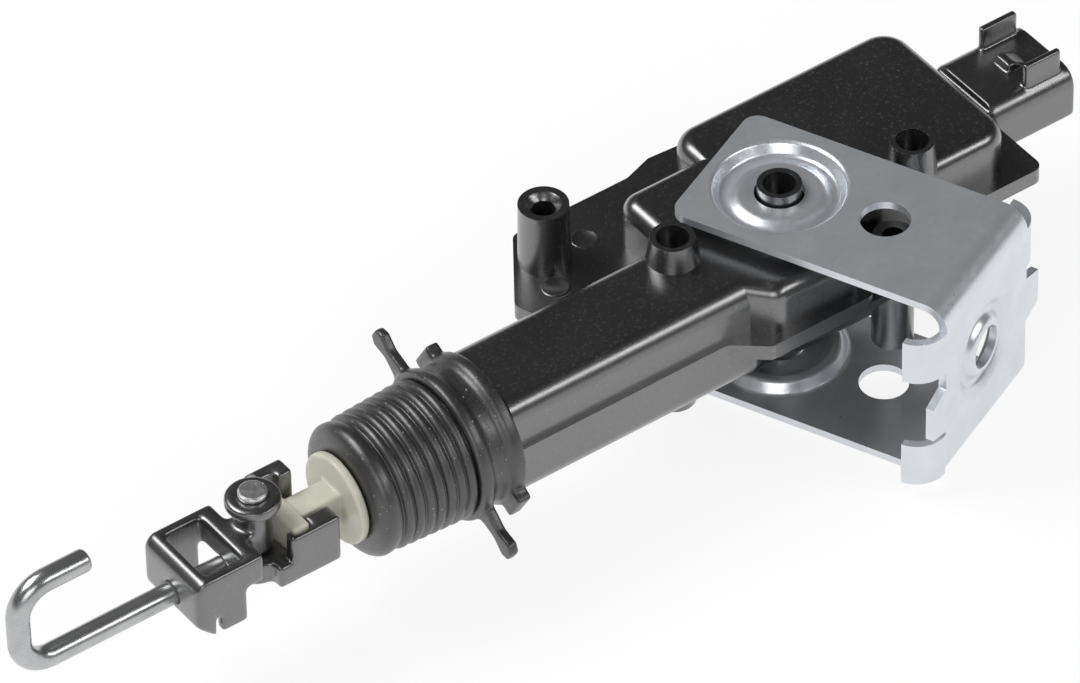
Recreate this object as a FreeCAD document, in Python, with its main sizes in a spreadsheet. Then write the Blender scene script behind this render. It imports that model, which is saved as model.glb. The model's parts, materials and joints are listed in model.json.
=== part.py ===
import FreeCAD, Part
import math
import os
import re

import Sketcher

Vector = FreeCAD.Vector

# Driving dimensions, in millimetres and degrees. Levels are measured up from the middle plane of
# the bracket, sides towards the motor and lengths along the plunger, all from the swivel axis.
DRIVING = (
    ("rest_swivel", 65.6, "turn of the bracket arms from the plunger axis, degrees"),
    ("steel", 1.5, "thickness of the bracket sheet"),
    ("arm_reach", 41, "swivel axis to the outer face of the web"),
    ("arm_tail", 13.8, "swivel axis to the free end of the arms"),
    ("arm_width", 30, "width of the arms and the web"),
    ("arm_top", 19.6, "outer face of the upper arm, up from the middle plane"),
    ("arm_bottom", 20.4, "outer face of the lower arm, down from the middle plane"),
    ("arm_corner", 3, "rounded corners at the free ends"),
    ("bend_inside", 3, "inside radius of both bends"),
    ("cup_width", 24.7, "pressed cup round the swivel hole"),
    ("cup_floor", 15, "flat seat of the pressed cup"),
    ("cup_depth", 2.2, "depth of the pressed cup"),
    ("swivel_hole", 9, "swivel hole in both arms"),
    ("arm_hole", 9, "second hole in both arms"),
    ("arm_hole_reach", 20.3, "swivel axis to the second hole"),
    ("arm_hole_side", 1.2, "second hole, off the middle of the arm"),
    ("web_hole", 8.1, "fixing hole in the web"),
    ("web_cup_width", 17, "pressed cup round the fixing hole"),
    ("web_cup_floor", 11.5, "flat floor of that cup"),
    ("web_cup_depth", 1.2, "depth of that cup"),
    ("cup_crown", 0.6, "rise of the middle of a pressed cup"),
    ("crown_inset", 1.6, "slope between floor and crown of a cup"),
    ("tab_curl", 5.7, "outside radius of the curled edge tabs"),
    ("tab_height", 9, "height of one curled tab"),
    ("near_tab_top", 14.7, "top of the near upper tab"),
    ("near_tab_low", -9.2, "top of the near lower tab"),
    ("far_tab_top", 15.4, "top of the far upper tab"),
    ("tongue_height", 10, "height of the flat tongue between the tabs"),
    ("tongue_taper", 1.4, "narrowing of the tongue on each side"),
    ("tongue_reach", 4.6, "how far the tongue stands out of the web edge"),
    ("near_tongue_top", 1.7, "top of the near tongue"),
    ("far_tongue_top", 3.6, "top of the far tongue"),
    ("swivel_gap", 0.2, "gap between a pressed cup and the housing"),
    ("axis_level", 4.6, "plunger axis and parting plane, up from the middle plane"),
    ("axis_side", 4.75, "plunger axis, towards the near side of the swivel axis"),
    ("wall", 1.8, "wall of the moulded housing"),
    ("flange", 1.6, "thickness of each half of the parting flange"),
    ("edge_round", 3, "rounded top edges of the housing"),
    ("corner_round", 4, "rounded upright corners of the housing"),
    ("barrel_width", 20, "width of the plunger barrel"),
    ("barrel_drop", 11, "depth of the barrel under the plunger axis"),
    ("barrel_round", 4, "rounded long edges of the barrel"),
    ("barrel_start", 68, "swivel axis to the mouth of the barrel"),
    ("barrel_lip", 0.9, "parting lip beside the barrel"),
    ("gear_left", 22, "left end of the gear chamber"),
    ("gear_right", 5, "right end of the gear chamber on the near side"),
    ("gear_far", 19, "far side of the gear chamber"),
    ("gear_near", 18.6, "near side of the gear chamber"),
    ("deep_near", 5.4, "near side of the deep lower gear chamber"),
    ("belly_play", 0.6, "gap between the gear and the round belly under it"),
    ("motor_left", 5, "left end of the motor chamber"),
    ("motor_right", 45, "right end of the motor chamber"),
    ("motor_far", 27, "far side of the motor chamber"),
    ("motor_near", 9, "near side of the motor chamber"),
    ("motor_tuck", 1.4, "inset of that side in the lower half"),
    ("motor_round", 5.5, "rounded upright corners of the motor chamber"),
    ("belly_round", 6, "rounded bottom edges of the motor chamber"),
    ("flange_far", 30, "far edge of the parting flange"),
    ("flange_left", 46.5, "left end of the parting flange"),
    ("flange_right", 49.5, "right edge of the parting flange"),
    ("flange_rim", 2, "width of the flange beside a chamber"),
    ("flange_skew", 2, "slant of the far edge of the flange"),
    ("flange_slant", 10.5, "slanted left corner of the flange, along the plunger"),
    ("flange_slope", 15, "that corner, sideways"),
    ("flange_heel", 3, "inset of the left end beside the barrel"),
    ("corner_cut", 8, "slanted near corner of the gear chamber"),
    ("boss_top", 20.4, "top of the hollow bosses"),
    ("boss_bottom", 21.2, "bottom of the lower swivel boss"),
    ("boss_width", 8, "outside of a hollow boss at its top"),
    ("boss_taper", 1.1, "widening of a hollow boss at its foot, on the radius"),
    ("boss_bore", 5.9, "bore of a hollow boss"),
    ("boss_bore_depth", 6, "depth of that bore"),
    ("barrel_boss_reach", 23.2, "swivel axis to the boss on the barrel"),
    ("barrel_boss_drop", 17.5, "bottom of the boss under the barrel"),
    ("motor_boss_reach", 25.4, "swivel axis to the boss on the motor chamber"),
    ("motor_boss_side", 5, "that boss, towards the near side"),
    ("screw_boss_width", 9.1, "outside of the left screw boss"),
    ("screw_bore", 4.1, "screw clearance bore"),
    ("screw_sink", 6.4, "countersink of a screw bore"),
    ("sink_depth", 1.2, "depth of that countersink"),
    ("screw_boss_top", 19.2, "top of the left screw boss"),
    ("screw_boss_drop", 4, "lower end of the left screw boss"),
    ("screw_boss_x", 35.2, "left screw boss, from the swivel axis"),
    ("screw_boss_y", 21.6, "left screw boss, towards the far side"),
    ("near_boss_width", 7.6, "outside of the near screw boss"),
    ("near_boss_top", 10, "top of the near screw boss"),
    ("near_boss_drop", 14, "bottom of the near screw boss"),
    ("near_boss_x", 14.7, "near screw boss, from the swivel axis"),
    ("near_boss_y", 13.6, "near screw boss, towards the near side"),
    ("header_side", 10.2, "connector axis, towards the far side"),
    ("header_width", 17.6, "width of the connector shell"),
    ("header_height", 10.6, "height of the connector shell"),
    ("header_end", 68.5, "mating end of the connector"),
    ("header_wall", 1.5, "wall of the connector shell"),
    ("header_depth", 18.7, "depth of the mouth of the connector"),
    ("header_round", 3.4, "rounded long edges of the shell"),
    ("header_neck", 1.2, "inset of the neck beside the housing"),
    ("header_neck_length", 1.6, "length of that neck"),
    ("key_height", 4.7, "height of the keying tabs"),
    ("key_thick", 1.4, "thickness of the keying tabs"),
    ("key_length", 9, "length of the keying tabs"),
    ("key_spread", 12.6, "distance between the keying tabs"),
    ("key_setback", 2, "mating end to the keying tabs"),
    ("ramp_start", 11, "mating end to the rear of the latch ramp"),
    ("ramp_end", 6.5, "mating end to the foot of its slope"),
    ("ramp_slope", 3, "length of its slope"),
    ("ramp_height", 1.6, "height of the latch ramp"),
    ("ramp_width", 4, "width of the latch ramp"),
    ("blade_width", 2.8, "width of a terminal blade"),
    ("blade_thick", 0.8, "thickness of a terminal blade"),
    ("blade_pitch", 7, "distance between the blades"),
    ("blade_end", 63.5, "tip of the blades"),
    ("blade_taper", 1.2, "tapered tip of a blade"),
    ("strip_drop", 4, "motor axis to the lower end of a contact strip"),
    ("module", 0.6, "tooth module"),
    ("gear_teeth", 29, "teeth of the screw gear"),
    ("pinion_teeth", 12, "teeth of the motor pinion"),
    ("tooth_tip", 0.8, "height of a tooth above the pitch circle, in modules"),
    ("tooth_root", 1.25, "depth of a tooth space below the pitch circle, in modules"),
    ("tooth_slope", 25, "slope of the tooth flanks, degrees"),
    ("backlash", 0.3, "play between the teeth"),
    ("motor_drop", 5, "motor axis below the plunger axis"),
    ("gear_face", 6, "face width of the gear"),
    ("pinion_margin", 0.5, "how far the pinion stands past the gear"),
    ("gear_back", -3.5, "rear face of the gear, along the plunger axis"),
    ("motor_width", 24, "outside of the motor can"),
    ("motor_front", 8, "front face of the motor can"),
    ("motor_length", 29, "length of the motor can"),
    ("can_sheet", 0.8, "sheet of the motor can"),
    ("can_nose", 2.4, "nose of the can round its front bearing"),
    ("motor_rib", 2, "thickness of a rib under the motor"),
    ("motor_rib_inset", 3, "end of the motor to such a rib"),
    ("shaft_width", 2, "motor shaft"),
    ("shaft_play", 0.03, "running clearance on the radius"),
    ("bush_width", 6, "outside of a motor bearing"),
    ("cap_thick", 2, "thickness of the motor end cap"),
    ("cap_boss", 2, "boss of the end cap"),
    ("cap_rim", 1.5, "rim of the end cap inside the can"),
    ("brush_side", 9, "motor axis to a brush window"),
    ("brush_width", 4, "width of a brush window"),
    ("brush_height", 5, "height of a brush window"),
    ("magnet_thick", 2, "thickness of the magnets"),
    ("air_gap", 0.4, "gap between magnets and armature"),
    ("magnet_margin", 3, "ends of the can to the magnets"),
    ("magnet_gap", 6, "gap between the magnets"),
    ("core_front", 4, "front of the can to the armature core"),
    ("core_back", 8, "rear of the can to the core"),
    ("commutator_width", 8, "outside of the commutator"),
    ("core_poles", 5, "slots of the armature core"),
    ("core_slot", 3, "depth of such a slot"),
    ("core_slot_width", 1.6, "width of such a slot"),
    ("screw_width", 6, "outside of the lead screw"),
    ("journal_width", 5, "journals of the lead screw"),
    ("screw_bevel", 1, "bevel at the free end of the screw"),
    ("screw_room", 0.4, "room round the screw inside the rod"),
    ("screw_tip", 62, "free end of the lead screw"),
    ("screw_bush_width", 8, "outside of a screw bearing"),
    ("rib_thick", 2.5, "front bearing rib"),
    ("rib_front", 12.5, "front face of the front bearing rib"),
    ("rear_rib", -1.2, "front face of the rear bearing rib"),
    ("rear_rib_thick", 4.4, "rear bearing rib"),
    ("washer_thick", 1, "thrust washer"),
    ("stroke", 19, "travel of the plunger"),
    ("nut_back", 18, "rear face of the nut block, plunger drawn in"),
    ("nut_length", 8, "length of the nut block"),
    ("rod_width", 11.2, "outside of the plunger rod"),
    ("rod_play", 0.05, "running clearance of the plunger rod"),
    ("slide_play", 0.3, "gap between sliding or swinging pieces"),
    ("disc_gap", 18.1, "link pin to the rear face of the plunger flange"),
    ("disc_thick", 1.8, "thickness of the plunger flange"),
    ("disc_width", 17.2, "plunger flange"),
    ("neck_width", 5.4, "plunger neck, sideways"),
    ("neck_height", 6.6, "plunger neck, upright"),
    ("tee_gap", 4.1, "link pin to the front face of the tee head"),
    ("tee_thick", 3.4, "thickness of the tee head"),
    ("tee_width", 12.2, "width of the tee head"),
    ("tee_height", 8.4, "height of the tee head"),
    ("nose_length", 9.6, "length of the round nose under the boot"),
    ("guide_width", 16.3, "outside of the guide inside the barrel"),
    ("bumper", 4, "thickness of the front bumper"),
    ("collar_width", 28.4, "outside of the boot collar"),
    ("collar_length", 9.6, "length of the boot collar"),
    ("collar_bead", 2.2, "width of the beads at both ends of the collar"),
    ("collar_waist", 1, "depth of the waist between the beads"),
    ("collar_wall", 2.2, "rubber round the nose"),
    ("boot_gap", 18.3, "link pin to the small end of the boot"),
    ("boot_end_width", 26.4, "first ridge of the boot"),
    ("boot_step", 0.1, "height of the collar over the last ridge"),
    ("boot_ridges", 6, "ridges of the boot"),
    ("boot_groove", 1.5, "depth of the grooves between the ridges"),
    ("boot_wall", 1.2, "wall of the boot"),
    ("boot_bevel", 1.5, "bevel of the small end"),
    ("ear_angle", 31, "pull ears, up from the far side, degrees"),
    ("ear_reach", 23, "boot axis to the tip of a pull ear"),
    ("ear_width", 4.6, "head of a pull ear"),
    ("ear_neck", 2.6, "neck of a pull ear"),
    ("ear_thick", 2, "thickness of a pull ear"),
    ("ear_inset", 1, "front of the collar to the pull ears"),
    ("pad_reach", 16, "boot axis to the top of a collar pad"),
    ("pad_width", 7, "width of a collar pad"),
    ("pad_length", 3, "length of a collar pad"),
    ("link_level", 3.4, "middle of the link, up from the bracket middle plane"),
    ("link_width", 15, "width of the plunger socket"),
    ("socket_wall", 2.6, "side walls of the socket"),
    ("socket_tail", 12.9, "link pin to the rear end of the socket"),
    ("socket_gap", 2.9, "link pin to the front end of the socket walls"),
    ("socket_trim", 2.2, "how much sooner the far socket wall ends"),
    ("socket_height", 10, "height of the near socket wall"),
    ("socket_rise", 4, "extra height of the far socket wall"),
    ("hook_lip", 3, "gripping lip of a socket wall"),
    ("pin_reach", 115.5, "swivel axis to the link pin"),
    ("pin_width", 3.4, "shank of the link pin"),
    ("pin_head", 5.2, "head of the link pin"),
    ("pin_head_thick", 1.2, "thickness of each head"),
    ("pin_play", 0.05, "running clearance of the pin"),
    ("ear_radius", 5, "hinge ears of the socket"),
    ("ear_top", 15.2, "top of the upper hinge ear"),
    ("ear_plate", 2.4, "thickness of a hinge ear"),
    ("knuckle_width", 6.4, "knuckle of the rod block"),
    ("block_reach", 17.5, "link pin to the front face of the rod block"),
    ("block_tail", 3.5, "link pin to the rear face of the rod block"),
    ("block_heel", 3.6, "setback of the rear face of the foot"),
    ("block_round", 1, "rounded front corners of the rod block"),
    ("block_chamfer", 1.6, "bevel at the front of the block's top"),
    ("block_toe", 3.4, "bevel at the front of the foot"),
    ("block_width", 16.5, "width of the rod block"),
    ("block_top", 9.3, "top of the rod block"),
    ("block_step", 3.4, "shoulder where the foot of the block begins"),
    ("block_bottom", -3.8, "bottom of the rod block"),
    ("window_reach", 14.3, "link pin to the front end of the window"),
    ("window_tail", 6.9, "link pin to the rear end of the window"),
    ("window_width", 12.3, "width of the window"),
    ("slot_width", 0.9, "narrow slot in the foot"),
    ("slot_depth", 4, "depth of that slot"),
    ("slot_setback", 4, "front face of the block to that slot"),
    ("hook_wire", 4.2, "wire of the hook rod"),
    ("hook_level", 2.2, "axis of the straight leg"),
    ("hook_rise", 17.5, "distance between the legs"),
    ("hook_bend", 6, "bend radius at the wire centre"),
    ("hook_reach", 48, "link pin to the axis of the upright leg"),
    ("tip_reach", 33.7, "link pin to the tip of the upper leg"),
    ("tip_bevel", 0.5, "bevel at the tip of the upper leg"),
)

# Distances from the swivel axis that follow from the place of the link pin.
DERIVED = (
    ("nose_width", "collar_width - 2 * collar_wall", "round nose of the barrel under the boot"),
    ("boot_width", "collar_width - 2 * boot_step", "last ridge of the boot"),
    ("disc_back", "pin_reach - disc_gap", "rear face of the plunger flange"),
    ("tee_front", "pin_reach - tee_gap", "front face of the tee head"),
    ("boot_start", "pin_reach - boot_gap", "small end of the boot"),
    ("socket_back", "pin_reach - socket_tail", "rear end of the socket"),
    ("socket_front", "pin_reach - socket_gap", "front end of the socket walls"),
    ("block_front", "pin_reach + block_reach", "front face of the rod block"),
    ("block_back", "pin_reach + block_tail", "rear face of the rod block"),
    ("window_front", "pin_reach + window_reach", "front end of the window"),
    ("window_back", "pin_reach + window_tail", "rear end of the window"),
    ("hook_front", "pin_reach + hook_reach", "axis of the upright leg"),
    ("hook_tip", "pin_reach + tip_reach", "tip of the upper leg"),
)
ALIASES = {row[0] for row in DRIVING + DERIVED}
WORD = re.compile(r"[A-Za-z_]+")

# How near two directions, levels and places must be to count as one.
SAME_DIRECTION = 1e-6
SAME_LEVEL = 1e-4
SAME_PLACE = 1e-3

# Places worked out from the driving dimensions, as formulas of their names.
WEB_MIDDLE = "(arm_top - arm_bottom) / 2"
WEB_HOLE_REACH = "(arm_reach - web_cup_depth - steel / 2)"
DATUM = (
    "0 - %s * cos(rest_swivel)" % WEB_HOLE_REACH,
    "%s * sin(rest_swivel)" % WEB_HOLE_REACH,
    "0 - %s" % WEB_MIDDLE,
)
CHAMBER_TOP = "(arm_top - steel - cup_depth - swivel_gap)"
CHAMBER_BOTTOM = "(0 - arm_bottom + steel + cup_depth + swivel_gap)"
GEAR_PITCH = "(module * gear_teeth / 2)"
PINION_PITCH = "(module * pinion_teeth / 2)"
AXIS_SPREAD = "(%s + %s)" % (GEAR_PITCH, PINION_PITCH)
MOTOR_SIDE = "(sqrt(%s ^ 2 - motor_drop ^ 2) - axis_side)" % AXIS_SPREAD
MOTOR_LEVEL = "(axis_level - motor_drop)"
MESH_ANGLE = "(asin(motor_drop / %s) / 1 deg)" % AXIS_SPREAD
AXIS = ("0", "0 - axis_side", "axis_level")
MOTOR_AXIS = ("0", MOTOR_SIDE, MOTOR_LEVEL)

doc = FreeCAD.newDocument("door_latch_actuator")
sheet = doc.addObject("Spreadsheet::Sheet", "Sizes")
NODES = []


def bound(formula):
    """Gives a formula of size names the form in which an object of the document can read it."""
    def in_sheet(found):
        word = found.group()
        return "Sizes." + word if word in ALIASES else word
    return WORD.sub(in_sheet, formula)


def value(formula):
    """Works a formula out from the sheet."""
    return float(sheet.evalExpression(bound(formula)))


def bind(thing, prop, formula):
    """Ties one property of an object to the sheet."""
    thing.setExpression(prop, bound(formula))


def fill_sheet():
    """Writes every driving dimension to the sheet, and those that follow from them."""
    derived = tuple((alias, "=" + formula, meaning) for alias, formula, meaning in DERIVED)
    for row, (alias, content, meaning) in enumerate(DRIVING + derived, 1):
        sheet.set("A%d" % row, alias)
        sheet.set("B%d" % row, str(content))
        sheet.setAlias("B%d" % row, alias)
        sheet.set("C%d" % row, meaning)
    doc.recompute()


def new_body(name):
    """Starts a body."""
    body = doc.addObject("PartDesign::Body", name)
    body.Label = name
    return body


def new_sketch(body, role, offset=("0", "0", "0")):
    """Adds a sketch on one of the body's own origin planes, moved by an offset in the plane's axes."""
    sketch = body.newObject("Sketcher::SketchObject", body.Name + "_sketch")
    plane = [feature for feature in body.Origin.OriginFeatures if feature.Role == role][0]
    sketch.AttachmentSupport = (plane, [""])
    sketch.MapMode = "FlatFace"
    for axis, formula in zip("xyz", offset):
        if formula != "0":
            bind(sketch, "AttachmentOffset.Base." + axis, formula)
    return sketch


def pin_axis(sketch, kind, curve, end, formula):
    """Holds one coordinate of a point of a curve at a formula."""
    index = sketch.addConstraint(Sketcher.Constraint(kind, -1, 1, curve, end, value(formula)))
    bind(sketch, "Constraints[%d]" % index, formula)


def pin_point(sketch, curve, end, place):
    """Holds one point of a curve at a place given by two formulas."""
    pin_axis(sketch, "DistanceX", curve, end, place[0])
    pin_axis(sketch, "DistanceY", curve, end, place[1])


def draw_polygon(sketch, corners):
    """Draws a closed outline with straight sides through its corners."""
    first = sketch.GeometryCount
    points = [Vector(value(x), value(y), 0) for x, y in corners]
    count = len(points)
    for index, point in enumerate(points):
        sketch.addGeometry(Part.LineSegment(point, points[(index + 1) % count]), False)
    for index, corner in enumerate(corners):
        following = first + (index + 1) % count
        sketch.addConstraint(Sketcher.Constraint("Coincident", first + index, 2, following, 1))
        pin_point(sketch, first + index, 1, corner)


def draw_circle(sketch, centre, width):
    """Draws a circle of a given width."""
    middle = Vector(value(centre[0]), value(centre[1]), 0)
    curve = sketch.addGeometry(Part.Circle(middle, Vector(0, 0, 1), value(width) / 2), False)
    pin_point(sketch, curve, 3, centre)
    index = sketch.addConstraint(Sketcher.Constraint("Radius", curve, value(width) / 2))
    bind(sketch, "Constraints[%d]" % index, "(%s) / 2" % width)


def draw_quarter_ring(sketch, centre, outside, inside, side):
    """Draws a quarter of a ring that starts along +X and turns to one side of its centre."""
    middle = Vector(value(centre[0]), value(centre[1]), 0)
    start, stop = (0, math.pi / 2) if side > 0 else (-math.pi / 2, 0)
    along, across = (1, 2) if side > 0 else (2, 1)
    curves = []
    for radius in (outside, inside):
        circle = Part.Circle(middle, Vector(0, 0, 1), value(radius))
        curve = sketch.addGeometry(Part.ArcOfCircle(circle, start, stop), False)
        pin_point(sketch, curve, 3, centre)
        pin_point(sketch, curve, along, ("%s + %s" % (centre[0], radius), centre[1]))
        pin_axis(sketch, "DistanceX", curve, across, centre[0])
        curves.append(curve)
    for end in (along, across):
        ends = [sketch.getPoint(curve, end) for curve in curves]
        line = sketch.addGeometry(Part.LineSegment(ends[0], ends[1]), False)
        sketch.addConstraint(Sketcher.Constraint("Coincident", line, 1, curves[0], end))
        sketch.addConstraint(Sketcher.Constraint("Coincident", line, 2, curves[1], end))


def rectangle(left, right, low, high):
    """Lists the corners of a rectangle."""
    return ((left, low), (right, low), (right, high), (left, high))


def pad(body, sketch, length, backwards=False, both=False):
    """Raises a sketch into a solid."""
    feature = body.newObject("PartDesign::Pad", body.Name + "_pad")
    feature.Profile = sketch
    feature.Reversed = backwards
    feature.Midplane = both
    bind(feature, "Length", length)
    doc.recompute()
    return feature


def pocket(body, sketch, length="0", backwards=False):
    """Cuts a sketch out of the body, right through both ways where no depth is given."""
    before = body.Shape.Volume
    feature = body.newObject("PartDesign::Pocket", body.Name + "_pocket")
    feature.Profile = sketch
    if length == "0":
        feature.Type = "ThroughAll"
        feature.Midplane = True
    else:
        feature.Reversed = backwards
        bind(feature, "Length", length)
    doc.recompute()
    if body.Shape.Volume >= before:
        raise ValueError("the pocket %s cuts nothing" % feature.Name)
    return feature


def spin(body, sketch, axis):
    """Turns a sketch round one of its own axes."""
    feature = body.newObject("PartDesign::Revolution", body.Name + "_spin")
    feature.Profile = sketch
    feature.ReferenceAxis = (sketch, [axis])
    feature.Angle = 360
    doc.recompute()
    return feature


def round_pattern(body, sketch, feature, count):
    """Repeats a feature round the axis of its sketch."""
    pattern = body.newObject("PartDesign::PolarPattern", body.Name + "_pattern")
    pattern.Originals = [feature]
    pattern.Axis = (sketch, ["N_Axis"])
    pattern.Angle = 360
    bind(pattern, "Occurrences", count)
    body.Tip = pattern
    doc.recompute()


def round_edges(body, radius, wanted):
    """Rounds the edges of the body for which a test holds."""
    base = body.Tip
    names = ["Edge%d" % number for number, edge in enumerate(base.Shape.Edges, 1) if wanted(edge)]
    feature = body.newObject("PartDesign::Fillet", body.Name + "_round")
    feature.Base = (base, names)
    bind(feature, "Radius", radius)
    doc.recompute()
    return feature


def runs_along(direction):
    """Makes a test for straight edges that run along a direction."""
    def test(edge):
        if edge.Curve.TypeId != "Part::GeomLine":
            return False
        return abs(abs(edge.Curve.Direction.dot(direction)) - 1) < SAME_DIRECTION
    return test


def lies_at(direction, level):
    """Makes a test for edges that lie wholly at one level along a direction."""
    def test(edge):
        ends = [edge.valueAt(edge.FirstParameter), edge.valueAt(edge.LastParameter), edge.CenterOfMass]
        return all(abs(point.dot(direction) - level) < SAME_LEVEL for point in ends)
    return test


def both_hold(*tests):
    """Joins several edge tests into one."""
    return lambda edge: all(test(edge) for test in tests)


def block(name, x_range, y_range, z_range):
    """Makes a plain rectangular block between pairs of formulas."""
    body = new_body(name)
    sketch = new_sketch(body, "XY_Plane", ("0", "0", z_range[0]))
    draw_polygon(sketch, rectangle(x_range[0], x_range[1], y_range[0], y_range[1]))
    pad(body, sketch, "(%s) - (%s)" % (z_range[1], z_range[0]))
    return body


def turned(name, corners):
    """Makes a solid turned round its own X axis from a profile of lengths and radii."""
    body = new_body(name)
    sketch = new_sketch(body, "XZ_Plane")
    draw_polygon(sketch, corners)
    spin(body, sketch, "H_Axis")
    return body


def round_boss(name, place, low, high, foot, top):
    """Makes an upright round boss, tapered from its foot to its top."""
    body = new_body(name)
    sketch = new_sketch(body, "XZ_Plane", (place[0], "0", "0 - (%s)" % place[1]))
    draw_polygon(sketch, (("0", low), ("(%s) / 2" % foot, low), ("(%s) / 2" % top, high), ("0", high)))
    spin(body, sketch, "V_Axis")
    return body


def drill(name, place, low, high, width):
    """Makes an upright round cutter."""
    cutter = doc.addObject("Part::Cylinder", name)
    bind(cutter, "Radius", "(%s) / 2" % width)
    bind(cutter, "Height", "(%s) - (%s)" % (high, low))
    for axis, formula in zip("xyz", (place[0], place[1], low)):
        bind(cutter, "Placement.Base." + axis, formula)
    doc.recompute()
    return cutter


def level_drill(name, start, stop, place, width):
    """Makes a round cutter that runs along X."""
    cutter = doc.addObject("Part::Cylinder", name)
    bind(cutter, "Radius", "(%s) / 2" % width)
    bind(cutter, "Height", "(%s) - (%s)" % (stop, start))
    cutter.Placement = FreeCAD.Placement(Vector(0, 0, 0), FreeCAD.Rotation(Vector(0, 1, 0), 90))
    for axis, formula in zip("xyz", (start, place[0], place[1])):
        bind(cutter, "Placement.Base." + axis, formula)
    doc.recompute()
    return cutter


def joined(name, shapes):
    """Fuses several shapes into one."""
    fused = doc.addObject("Part::MultiFuse", name)
    fused.Shapes = list(shapes)
    fused.Refine = True
    doc.recompute()
    return fused


def without(name, base, tool):
    """Cuts one shape out of another."""
    result = doc.addObject("Part::Cut", name)
    result.Base = base
    result.Tool = tool
    result.Refine = True
    doc.recompute()
    return result


def common(name, base, tool):
    """Keeps what two shapes share."""
    result = doc.addObject("Part::Common", name)
    result.Base = base
    result.Tool = tool
    doc.recompute()
    return result


def grouped(name, shapes):
    """Holds separate equal solids together as one sub-part."""
    group = doc.addObject("Part::Compound", name)
    group.Links = list(shapes)
    doc.recompute()
    return group


def finish_node(thing, label, place=("0", "0", "0"), turn=None):
    """Labels a sub-part and moves it from its own frame to the frame of the assembly."""
    thing.Label = label
    if turn:
        direction, formula = turn
        thing.Placement = FreeCAD.Placement(Vector(0, 0, 0), FreeCAD.Rotation(direction, value(formula)))
        bind(thing, "Placement.Rotation.Angle", formula)
    for axis, shift, datum in zip("xyz", place, DATUM):
        bind(thing, "Placement.Base." + axis, "(%s) + (%s)" % (shift, datum))
    doc.recompute()
    NODES.append(thing)


def pressed_cup(body, role, offset, axis, reach, depth, widths, outward):
    """Presses a round cup into the sheet: the flat disc is cut out and a turned cup takes its place."""
    outer, floor, hole = widths
    sketch = new_sketch(body, role, offset)
    face = reach
    back = "(%s - %s * steel)" % (face, outward)
    deep_face = "(%s - %s * %s)" % (face, outward, depth)
    deep_back = "(%s - %s * steel)" % (deep_face, outward)
    crown_face = "(%s + %s * cup_crown)" % (deep_face, outward)
    crown_back = "(%s + %s * cup_crown)" % (deep_back, outward)
    corners = [
        ("%s / 2" % outer, face), ("%s / 2 - steel" % outer, face), ("%s / 2" % floor, deep_face),
        ("%s / 2 - crown_inset / 2" % floor, deep_face), ("%s / 2 - crown_inset" % floor, crown_face),
        ("%s / 2" % hole, crown_face), ("%s / 2" % hole, crown_back),
        ("%s / 2 - crown_inset" % floor, crown_back),
        ("%s / 2 - crown_inset / 2" % floor, deep_back), ("%s / 2 + steel / 2" % floor, deep_back),
        ("%s / 2 - steel / 2" % outer, back), ("%s / 2" % outer, back),
    ]
    if axis == "H_Axis":
        corners = [(along, radius) for radius, along in corners]
    draw_polygon(sketch, corners)
    spin(body, sketch, axis)


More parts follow.
